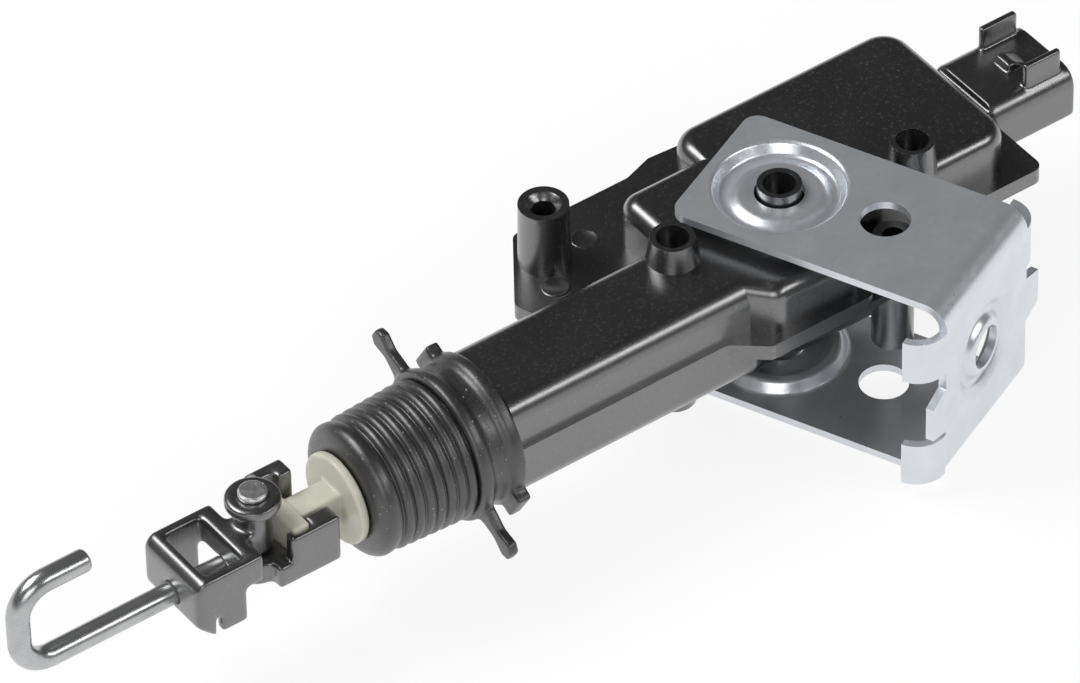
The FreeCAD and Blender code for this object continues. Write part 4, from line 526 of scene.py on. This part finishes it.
class Workshop:
    """Builds each finish once and makes, dresses and places the pieces."""

    def __init__(self) -> None:
        """Builds the finishes and dresses every CAD node."""
        record = frame["record"]
        self.materials = {finish.name: finish.build() for finish in FINISHES}
        self.slots = {part["node"]: part["material_slot"] for part in record["subparts"]}
        self.bodies = {node: body for body, nodes in record["behaviour"]["bodies"].items() for node in nodes}
        for node, thing in frame["nodes"].items():
            thing.data.materials.clear()
            thing.data.materials.append(self.materials[self.slots[node]])

    def finish(self, name: str, mesh: bpy.types.Mesh, slot: str, body: str = "",
               nodes: tuple[str, ...] = ()) -> bpy.types.Object:
        """Makes a dressed piece of a mesh and puts it on its body.

        Args:
            name: name of the piece.
            mesh: its mesh, in the row frame.
            slot: the record's material slot.
            body: CAD body that it rides on, or nothing where it is blended between two.
            nodes: CAD nodes that it stands for.

        Returns:
            The new object.
        """
        mesh.name = name
        piece = placed(name, mesh)
        mesh.materials.clear()
        mesh.materials.append(self.materials[slot])
        if body:
            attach(piece, body)
        if nodes:
            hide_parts(*nodes)
        LOG.info("%s: %d faces", name, len(mesh.polygons))
        return piece

    def tidy_copy(self, node: str) -> bpy.types.Mesh:
        """Copies a CAD node's mesh, joins its corners and drops the edges inside its flat faces.

        Args:
            node: name of the CAD node.

        Returns:
            The new mesh.
        """
        mesh = frame["nodes"][node].data.copy()
        work = bmesh.new()
        work.from_mesh(mesh)
        bmesh.ops.remove_doubles(work, verts=work.verts, dist=SAME_CORNER)
        bmesh.ops.dissolve_limit(work, angle_limit=math.radians(FLAT_ANGLE), verts=work.verts,
                                 edges=work.edges)
        work.to_mesh(mesh)
        work.free()
        return mesh

    def stand_in(self, node: str, mesh: bpy.types.Mesh) -> None:
        """Puts a mesh in the place of a CAD node."""
        self.finish(node + "_moulding", mesh, self.slots[node], self.bodies[node], (node,))

    def melt(self, node: str, cell: float, passes: int) -> None:
        """Replaces a CAD node by a softly moulded copy, from its cell in metres and smoothing passes."""
        self.stand_in(node, melted_mesh(self.tidy_copy(node), cell, passes))

    def soften(self, node: str, width: float) -> None:
        """Replaces a CAD node by a copy whose edges are rounded to a width in metres."""
        self.stand_in(node, rounded_mesh(self.tidy_copy(node), width))


@dataclass
class RubberBoot:
    """The rubber boot: a bellows made by Geometry Nodes, and its collar with pull ears."""

    shop: Workshop

    # The bellows: a bead at the front takes its share of the length, and the ridges take the rest
    ridges: int = 7
    front_radius: float = 12.4 * MM
    back_radius: float = 13.3 * MM
    mouth_radius: float = 8.6 * MM
    bead_share: float = 0.24
    groove: float = 1.4 * MM
    ridge_fullness: float = 0.36
    around: int = 96
    along: int = 14

    # The rim at the front: offsets from the front end and radii
    rim: tuple[Pair, ...] = ((0.1 * MM, 7.6 * MM), (0.4 * MM, 6.4 * MM), (0.9 * MM, 5.95 * MM))
    rim_reach: float = 0.01 * MM
    wall: float = 0.84 * MM

    collar_cell: float = 0.3 * MM
    collar_passes: int = 20

    def radius_rule(self, tree: bpy.types.NodeTree, given: bpy.types.bpy_prop_collection,
                    share: bpy.types.NodeSocket) -> bpy.types.NodeSocket:
        """Adds the rule for the radius: a round bead at the front, and ridges behind it.

        Args:
            tree: node tree to add it to.
            given: sockets with the tree's named inputs.
            share: socket with the place along the bellows, 0 at the front and 1 at the back.

        Returns:
            The socket with the radius.
        """
        made = partial(math_node, tree)
        growth = made("SUBTRACT", given["Back Radius"], given["Front Radius"])
        plain = made("MULTIPLY_ADD", share, growth, given["Front Radius"])
        bead = given["Bead Share"]
        behind = made("DIVIDE", made("SUBTRACT", share, bead), made("SUBTRACT", 1.0, bead))
        phase = made("MULTIPLY", made("MULTIPLY", behind, given["Ridges"]), math.pi)
        arch = made("POWER", made("ABSOLUTE", made("SINE", phase)), given["Ridge Fullness"])
        dip = made("MULTIPLY", made("SUBTRACT", 1.0, arch), given["Groove"])
        ridged = made("SUBTRACT", plain, dip)
        swing = made("SUBTRACT", made("DIVIDE", made("MULTIPLY", share, 2.0), bead), 1.0)
        room = made("MAXIMUM", made("SUBTRACT", 1.0, made("MULTIPLY", swing, swing)), 0.0)
        rise = made("POWER", room, 0.5)
        ahead = made("LESS_THAN", swing, 0.0)
        grooved = made("SUBTRACT", plain, given["Groove"])
        base = made("MULTIPLY_ADD", ahead, made("SUBTRACT", given["Mouth Radius"], grooved), grooved)
        domed = made("MULTIPLY_ADD", rise, made("SUBTRACT", plain, base), base)
        return made("MULTIPLY_ADD", made("LESS_THAN", share, bead), made("SUBTRACT", domed, ridged), ridged)

    def bellows_tree(self, length: float) -> bpy.types.NodeTree:
        """Builds the tree that bends a flat grid to the ridged wall along X.

        Args:
            length: length of the bellows at rest, in metres.

        Returns:
            The node tree.
        """
        tree = bpy.data.node_groups.new("bellows_rule", "GeometryNodeTree")
        interface = tree.interface
        interface.new_socket("Geometry", in_out="OUTPUT", socket_type="NodeSocketGeometry")
        sizes = {
            "Length": length, "Front Radius": self.front_radius, "Back Radius": self.back_radius,
            "Mouth Radius": self.mouth_radius, "Bead Share": self.bead_share, "Groove": self.groove,
            "Ridges": float(self.ridges), "Ridge Fullness": self.ridge_fullness,
        }
        for name, size in sizes.items():
            socket = interface.new_socket(name, in_out="INPUT", socket_type="NodeSocketFloat")
            socket.default_value = size
        material = interface.new_socket("Material", in_out="INPUT", socket_type="NodeSocketMaterial")
        material.default_value = self.shop.materials["boot_rubber"]
        nodes, link, made = tree.nodes, tree.links.new, partial(math_node, tree)
        given = nodes.new("NodeGroupInput").outputs
        grid = nodes.new("GeometryNodeMeshGrid")
        grid.inputs["Size X"].default_value = 1.0
        grid.inputs["Size Y"].default_value = 1.0
        grid.inputs["Vertices X"].default_value = (self.ridges + 2) * self.along + 1
        grid.inputs["Vertices Y"].default_value = self.around + 1
        split = nodes.new("ShaderNodeSeparateXYZ")
        link(nodes.new("GeometryNodeInputPosition").outputs["Position"], split.inputs["Vector"])
        share = made("ADD", split.outputs["X"], 0.5)
        turn = made("MULTIPLY", made("ADD", split.outputs["Y"], 0.5), 2 * math.pi)
        radius = self.radius_rule(tree, given, share)
        spot = nodes.new("ShaderNodeCombineXYZ")
        link(made("MULTIPLY", share, given["Length"]), spot.inputs["X"])
        link(made("MULTIPLY", radius, made("COSINE", turn)), spot.inputs["Y"])
        link(made("MULTIPLY", radius, made("SINE", turn)), spot.inputs["Z"])
        move = nodes.new("GeometryNodeSetPosition")
        link(grid.outputs["Mesh"], move.inputs["Geometry"])
        link(spot.outputs["Vector"], move.inputs["Position"])
        merge = nodes.new("GeometryNodeMergeByDistance")
        merge.inputs["Distance"].default_value = SAME_CORNER
        realize = nodes.new("GeometryNodeRealizeInstances")
        dress = nodes.new("GeometryNodeSetMaterial")
        link(move.outputs["Geometry"], merge.inputs["Geometry"])
        link(merge.outputs["Geometry"], realize.inputs["Geometry"])
        link(realize.outputs["Geometry"], dress.inputs["Geometry"])
        link(given["Material"], dress.inputs["Material"])
        link(dress.outputs["Geometry"], nodes.new("NodeGroupOutput").inputs["Geometry"])
        return tree

    def ridged_wall(self, length: float) -> bpy.types.Mesh:
        """Runs the tree.

        Args:
            length: length of the bellows at rest, in metres.

        Returns:
            The ridged wall as a plain mesh, along X from the origin.
        """
        holder = placed("bellows_holder", bpy.data.meshes.new("bellows_holder"))
        modifier = holder.modifiers.new("bellows", "NODES")
        modifier.node_group = self.bellows_tree(length)
        items = modifier.node_group.interface.items_tree
        sockets = {item.name: item.identifier for item in items if item.in_out == "INPUT"}
        modifier[sockets["Length"]] = length
        return settled(holder)

    def draw_rim_in(self, wall: bpy.types.Mesh, front: float, axis: Pair) -> None:
        """Moves the wall to its place, adds the rim at its front and turns its faces outwards.

        Args:
            wall: the ridged wall, which is changed.
            front: place of its front end along X, in metres.
            axis: y and z of its middle line, in metres.
        """
        work = bmesh.new()
        work.from_mesh(wall)
        bmesh.ops.translate(work, verts=work.verts, vec=(front, *axis))
        edge_line = [edge for edge in work.edges if edge.is_boundary
                     and all(abs(vert.co.x - front) < self.rim_reach for vert in edge.verts)]
        for offset, radius in self.rim:
            grown = bmesh.ops.extrude_edge_only(work, edges=edge_line)["geom"]
            edge_line = [part for part in grown if isinstance(part, bmesh.types.BMEdge)]
            for vert in (part for part in grown if isinstance(part, bmesh.types.BMVert)):
                spoke = Vector((0, vert.co.y - axis[0], vert.co.z - axis[1])).normalized() * radius
                vert.co = (front + offset, axis[0] + spoke.y, axis[1] + spoke.z)
        bmesh.ops.recalc_face_normals(work, faces=work.faces)
        outward = 0.0
        for face in work.faces:
            middle = face.calc_center_median()
            outward += face.normal.dot(middle - Vector((middle.x, *axis)))
        if outward < 0:
            bmesh.ops.reverse_faces(work, faces=work.faces)
        work.to_mesh(wall)
        work.free()

    def bellows(self) -> None:
        """Makes the bellows and stretches it between the housing and the plunger."""
        low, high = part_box("boot_bellows")
        axis = ((low[1] + high[1]) / 2, (low[2] + high[2]) / 2)
        wall = self.ridged_wall(high[0] - low[0])
        self.draw_rim_in(wall, low[0], axis)
        thick = placed("boot_wall", wall)
        solid = thick.modifiers.new("wall", "SOLIDIFY")
        solid.thickness = self.wall
        solid.offset = -1.0
        mesh = settled(thick)
        shade_smooth(mesh)
        piece = self.shop.finish("boot_bellows_rubber", mesh, "boot_rubber", nodes=("boot_bellows",))
        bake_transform(piece)

    def build(self) -> None:
        """Builds the whole boot."""
        self.bellows()
        self.shop.melt("boot_collar", self.collar_cell, self.collar_passes)


@dataclass
class Mouldings:
    """The mouldings, whose edges are rounded or melted, and the ejector marks on the flange."""

    shop: Workshop

    # Widths of the rounded edges
    rounded: dict[str, float] = field(default_factory=lambda: {
        "upper_housing": 0.35 * MM, "lower_housing": 0.35 * MM, "plunger_guide": 0.4 * MM,
    })

    # Cells and smoothing passes of the melted pieces
    melted: dict[str, tuple[float, int]] = field(default_factory=lambda: {
        "plunger_socket": (0.17 * MM, 120), "rod_block": (0.17 * MM, 160), "plunger": (0.26 * MM, 22),
    })

    connector_cell: float = 0.25 * MM
    connector_passes: int = 22
    connector_stops: Stops = (
        (27.07, 27.07), (30.5, 33.0), (33.7, 35.0), (41.4, 41.2), (42.9, 42.6), (45.9, 45.4), (50.4, 49.2),
        (52.37, 51.0),
    )

    # Places of the marks from above, and the radii and heights of their section
    mark_places: tuple[Pair, ...] = ((-42.6 * MM, 57.1 * MM), (-54.1 * MM, 50.1 * MM))
    mark_section: Stops = (
        (0.0, -0.3), (2.6, -0.3), (2.6, 0.05), (2.5, 0.12), (2.15, 0.12), (2.0, 0.03), (0.0, 0.03),
    )
    overhead: float = 0.1

    def connector(self) -> None:
        """Builds the connector with its shell drawn back from the housing, so that its neck shows."""
        mesh = self.shop.tidy_copy("connector_header")
        for vert in mesh.vertices:
            vert.co.x = stretched(vert.co.x / MM, self.connector_stops) * MM
        melted = melted_mesh(mesh, self.connector_cell, self.connector_passes)
        self.shop.stand_in("connector_header", melted)

    def ejector_mark(self, index: int, above: Vector) -> None:
        """Adds the round mark that an ejector pin left on the flange.

        Args:
            index: number of the mark.
            above: a place over the mark.
        """
        flange = frame["nodes"]["upper_housing"].data
        corners = [vert.co for vert in flange.vertices]
        tree = BVHTree.FromPolygons(corners, [face.vertices for face in flange.polygons])
        place = tree.ray_cast(above, Vector((0.0, 0.0, -1.0)))[0]
        if place is None:
            LOG.warning("no flange under ejector mark %d", index)
            return
        mesh = turned_mesh([(radius * MM, height * MM) for radius, height in self.mark_section], place)
        self.shop.finish(f"ejector_mark_{index}", mesh, "housing_plastic", "housing")

    def build(self) -> None:
        """Builds every moulding and its marks."""
        for node, width in self.rounded.items():
            self.shop.soften(node, width)
        for node, (cell, passes) in self.melted.items():
            self.shop.melt(node, cell, passes)
        self.connector()
        for index, place in enumerate(self.mark_places):
            self.ejector_mark(index, Vector((*place, self.overhead)))


@dataclass(frozen=True)
class PressedCup:
    """A pressed cup: its axis, the radii that it is drawn out to and the lifts at the new radii."""

    origin: Vector
    axis: Vector
    radii: Stops
    lifts: Stops


@dataclass
class MetalParts:
    """The bracket, the hook rod and the link pin."""

    shop: Workshop

    swivel_radii: Stops = (
        (0.0, 0.0), (4.5, 4.5), (5.9, 7.6), (6.7, 9.2), (7.5, 10.5), (8.25, 10.9), (10.85, 12.0),
        (11.6, 12.4), (12.35, 12.7), (13.4, 13.4),
    )
    swivel_lifts: Stops = ((0.0, 0.35), (7.7, 0.35), (9.0, 0.0), (20.0, 0.0))
    web_radii: Stops = (
        (0.0, 0.0), (4.05, 4.05), (4.15, 5.2), (4.95, 6.4), (5.75, 7.6), (6.5, 8.4), (7.0, 9.8),
        (7.75, 10.2), (8.5, 10.6), (12.0, 12.0),
    )
    web_lifts: Stops = ((0.0, 0.6), (5.3, 0.6), (6.4, -0.35), (7.7, -0.35), (9.7, 0.0), (20.0, 0.0))

    # Below this level along a cup's axis the sheet is the lower arm, which is lifted downwards
    lower_arm: float = -3.0 * MM

    # The rings of a cup are the edges beyond the least radius that run round the axis and turn enough
    ring_least: float = 5.0 * MM
    ring_play: float = 0.02 * MM
    ring_angle: float = 12.0

    cup_round: float = 0.54 * MM
    cup_steps: int = 5
    sheared_round: float = 0.16 * MM
    pin_round: float = 0.25 * MM
    rod_round: float = 0.3 * MM

    def cups(self) -> tuple[PressedCup, PressedCup]:
        """Finds the cups of the bracket.

        Returns:
            The cups of the arms, which share the swivel axis, and the cup of the web.
        """
        joints = {joint["name"]: joint for joint in frame["joints"]}
        swivel = Vector(joints["bracket_swivel"]["pos_m"])
        outwards = Vector((-swivel.x, -swivel.y, 0.0)).normalized()
        return (PressedCup(swivel, Vector((0.0, 0.0, 1.0)), self.swivel_radii, self.swivel_lifts),
                PressedCup(Vector((0.0, 0.0, 0.0)), outwards, self.web_radii, self.web_lifts))

    def draw_out(self, work: bmesh.types.BMesh, cup: PressedCup) -> None:
        """Draws a cup out to its seen width and depth.

        Args:
            work: working mesh of the bracket.
            cup: the cup, or a pair of them on one axis.
        """
        for vert in work.verts:
            spoke = vert.co - cup.origin
            reach = spoke.dot(cup.axis)
            flat = spoke - reach * cup.axis
            radius = flat.length / MM
            if 0.0 < radius < cup.radii[-1][0]:
                wide = stretched(radius, cup.radii)
                side = 1.0 if reach > self.lower_arm else -1.0
                lift = side * stretched(wide, cup.lifts) * MM
                vert.co = cup.origin + (reach + lift) * cup.axis + flat * wide / radius

    def mark_rings(self, work: bmesh.types.BMesh, cups: tuple[PressedCup, ...]) -> None:
        """Gives the rings of the cups a bevel weight, because they are rounded further than the rest.

        Args:
            work: working mesh of the bracket.
            cups: the cups.
        """
        weights = work.edges.layers.float.new("bevel_weight_edge")
        for edge in work.edges:
            if not edge.is_manifold or edge.calc_face_angle() < math.radians(self.ring_angle):
                continue
            for cup in cups:
                start, end = ((vert.co - cup.origin).cross(cup.axis).length for vert in edge.verts)
                if abs(start - end) < self.ring_play and self.ring_least < start < cup.radii[-1][0] * MM:
                    edge[weights] = 1.0

    def bracket(self) -> None:
        """Builds the bracket with its full cups and sheared edges."""
        mesh = self.shop.tidy_copy("mounting_bracket")
        work = bmesh.new()
        work.from_mesh(mesh)
        cups = self.cups()
        for cup in cups:
            self.draw_out(work, cup)
        self.mark_rings(work, cups)
        work.to_mesh(mesh)
        work.free()
        mesh = rounded_mesh(mesh, self.cup_round, self.cup_steps, by_weight=True)
        self.shop.stand_in("mounting_bracket", rounded_mesh(mesh, self.sheared_round))

    def build(self) -> None:
        """Builds the metal pieces that are seen."""
        self.bracket()
        self.shop.soften("link_pin", self.pin_round)
        self.shop.soften("hook_rod", self.rod_round)


@dataclass(frozen=True)
class SoftLamp:
    """A soft rectangular lamp: its place, size and aim in metres, and its power in watts."""

    name: str
    place: tuple[float, float, float]
    size: Pair
    watts: float
    aim: tuple[float, float, float] = (-0.05, 0.03, 0.0)

    def build(self) -> None:
        """Hangs the lamp and points it at the object."""
        data = bpy.data.lights.new(self.name, "AREA")
        data.shape = "RECTANGLE"
        data.size, data.size_y = self.size
        data.energy = self.watts
        back = Vector(self.place) - Vector(self.aim)
        turn = back.to_track_quat("Z", "Y").to_matrix().to_4x4()
        placed(self.name, data).matrix_world = Matrix.Translation(self.place) @ turn


@dataclass
class Studio:
    """Pale floor, soft lamps and the camera at the photograph's angle."""

    # The camera: its turn in degrees, its focal length in pixels and its scale in pixels to the millimetre
    azimuth: float = -35.2
    elevation: float = 42.6
    roll: float = -1.3
    focal: float = 10000.0
    scale: float = 5.75
    frame_size: tuple[int, int] = (1080, 683)
    sensor_width: float = 36.0
    clip: Pair = (0.05, 50.0)

    # A place on the object and the pixel that it falls on
    anchor: tuple[float, float, float] = (-55.882 * MM, 34.712 * MM, 0.8 * MM)
    pixel: Pair = (600.0, 363.2)

    # Strengths of the even light and of the ceiling in mirrors, and the height where the sweep ends
    room_light: float = 0.3
    ceiling: float = 0.04
    sweep_grey: float = 0.8
    sweep_top: float = 0.15

    # The floor: half its width, its gap under the object, its paper and the share that shows white
    floor_reach: float = 4.0
    floor_gap: float = 0.02 * MM
    floor_grey: float = 0.9
    floor_rough: float = 0.8
    floor_glow: float = 0.87

    lamps: tuple[SoftLamp, ...] = (
        SoftLamp("key_lamp", (-0.5, 0.5, 0.9), (0.7, 0.5), 9.0),
        SoftLamp("front_lamp", (-0.7, -0.7, 0.6), (0.6, 0.5), 3.0),
        SoftLamp("side_lamp", (0.41, -0.72, 0.66), (0.8, 0.22), 3.2),
        SoftLamp("back_lamp", (0.45, 0.75, 0.82), (0.9, 0.9), 0.03),
    )

    def axes(self) -> tuple[Vector, Vector, Vector]:
        """Gives the camera's directions.

        Returns:
            Its right, up and back directions.
        """
        turn, tilt, roll = (math.radians(angle) for angle in (self.azimuth, self.elevation, self.roll))
        back = Vector((math.sin(turn) * math.cos(tilt), -math.cos(turn) * math.cos(tilt), math.sin(tilt)))
        level = Vector((math.cos(turn), math.sin(turn), 0.0))
        right = level * math.cos(roll) + back.cross(level) * math.sin(roll)
        return right, back.cross(right), back

    def camera(self) -> None:
        """Places the camera so that the anchor falls on its pixel."""
        right, up, back = self.axes()
        distance = self.focal / self.scale * MM
        shift_right = (self.pixel[0] - self.frame_size[0] / 2) / self.focal * distance
        shift_down = (self.pixel[1] - self.frame_size[1] / 2) / self.focal * distance
        place = Vector(self.anchor) + back * distance - right * shift_right + up * shift_down
        data = bpy.data.cameras.new("photo_camera")
        data.sensor_width = self.sensor_width
        data.lens = self.focal * data.sensor_width / self.frame_size[0]
        data.clip_start, data.clip_end = self.clip
        camera = placed("photo_camera", data)
        turn = Matrix((right, up, back)).transposed().to_4x4()
        camera.matrix_world = Matrix.Translation(place) @ turn
        bpy.context.scene.camera = camera

    def sweep_rays(self, tree: bpy.types.NodeTree, path: bpy.types.Node) -> bpy.types.NodeSocket:
        """Adds the test for rays that show the pale sweep behind the object.

        Args:
            tree: node tree of the world.
            path: its Light Path node.

        Returns:
            A socket that is 1 for camera and transmission rays, and for glossy rays near the horizon.
        """
        direct = math_node(tree, "MAXIMUM", path.outputs["Is Camera Ray"],
                           path.outputs["Is Transmission Ray"])
        split = tree.nodes.new("ShaderNodeSeparateXYZ")
        generated = tree.nodes.new("ShaderNodeTexCoord").outputs["Generated"]
        tree.links.new(generated, split.inputs["Vector"])
        fade = tree.nodes.new("ShaderNodeMapRange")
        settings = {"From Min": 0.0, "From Max": self.sweep_top, "To Min": 1.0, "To Max": 0.0}
        for name, setting in settings.items():
            fade.inputs[name].default_value = setting
        tree.links.new(split.outputs["Z"], fade.inputs["Value"])
        glossy = path.outputs["Is Glossy Ray"]
        return math_node(tree, "MULTIPLY_ADD", glossy, fade.outputs["Result"], direct, clamp=True)

    def world(self) -> None:
        """Lights the scene evenly and shows a pale sweep under a darker ceiling."""
        world = bpy.data.worlds.new("studio")
        bpy.context.scene.world = world
        world.use_nodes = True
        tree = world.node_tree
        path = tree.nodes.new("ShaderNodeLightPath")
        even = tree.nodes["Background"]
        even.inputs["Color"].default_value = (1.0, 1.0, 1.0, 1.0)
        level = math_node(tree, "MULTIPLY_ADD", path.outputs["Is Glossy Ray"], self.ceiling - self.room_light,
                          self.room_light)
        tree.links.new(level, even.inputs["Strength"])
        sweep = tree.nodes.new("ShaderNodeBackground")
        sweep.inputs["Color"].default_value = (*[self.sweep_grey] * 3, 1.0)
        mix = tree.nodes.new("ShaderNodeMixShader")
        tree.links.new(self.sweep_rays(tree, path), mix.inputs["Fac"])
        tree.links.new(even.outputs["Background"], mix.inputs[1])
        tree.links.new(sweep.outputs["Background"], mix.inputs[2])
        tree.links.new(mix.outputs["Shader"], tree.nodes["World Output"].inputs["Surface"])

    def floor_material(self) -> bpy.types.Material:
        """Builds the floor's paper, which shows itself white to camera, glossy and transmission rays.

        Returns:
            The new material.
        """
        material = bpy.data.materials.new("floor_paper")
        material.use_nodes = True
        tree = material.node_tree
        paper = tree.nodes["Principled BSDF"]
        paper.inputs["Base Color"].default_value = (*[self.floor_grey] * 3, 1.0)
        paper.inputs["Roughness"].default_value = self.floor_rough
        path = tree.nodes.new("ShaderNodeLightPath")
        shown = path.outputs["Is Camera Ray"]
        for name in ("Is Glossy Ray", "Is Transmission Ray"):
            shown = math_node(tree, "MAXIMUM", shown, path.outputs[name])
        glow = tree.nodes.new("ShaderNodeEmission")
        glow.inputs["Strength"].default_value = 1.0
        mix = tree.nodes.new("ShaderNodeMixShader")
        tree.links.new(math_node(tree, "MULTIPLY", shown, self.floor_glow), mix.inputs["Fac"])
        tree.links.new(paper.outputs["BSDF"], mix.inputs[1])
        tree.links.new(glow.outputs["Emission"], mix.inputs[2])
        tree.links.new(mix.outputs["Shader"], tree.nodes["Material Output"].inputs["Surface"])
        return material

    def floor(self) -> None:
        """Lays the pale floor under the lowest point of the object."""
        level = CAD_BOX[0][2] - self.floor_gap
        work = bmesh.new()
        bmesh.ops.create_grid(work, x_segments=1, y_segments=1, size=self.floor_reach)
        bmesh.ops.translate(work, verts=work.verts, vec=(0.0, 0.0, level))
        mesh = bpy.data.meshes.new("floor")
        work.to_mesh(mesh)
        work.free()
        mesh.materials.append(self.floor_material())
        floor = placed("floor", mesh)

    def build(self) -> None:
        """Sets the whole studio up."""
        bpy.context.scene.view_settings.view_transform = "Standard"
        self.camera()
        self.world()
        self.floor()
        for lamp in self.lamps:
            lamp.build()


def main() -> None:
    """Builds the sub-assemblies in order."""
    logging.basicConfig(level=logging.INFO)
    shop = Workshop()
    for assembly in (Mouldings(shop), RubberBoot(shop), MetalParts(shop), Studio()):
        assembly.build()
        LOG.info("%s done", type(assembly).__name__)


if __name__ == "__main__":
    main()
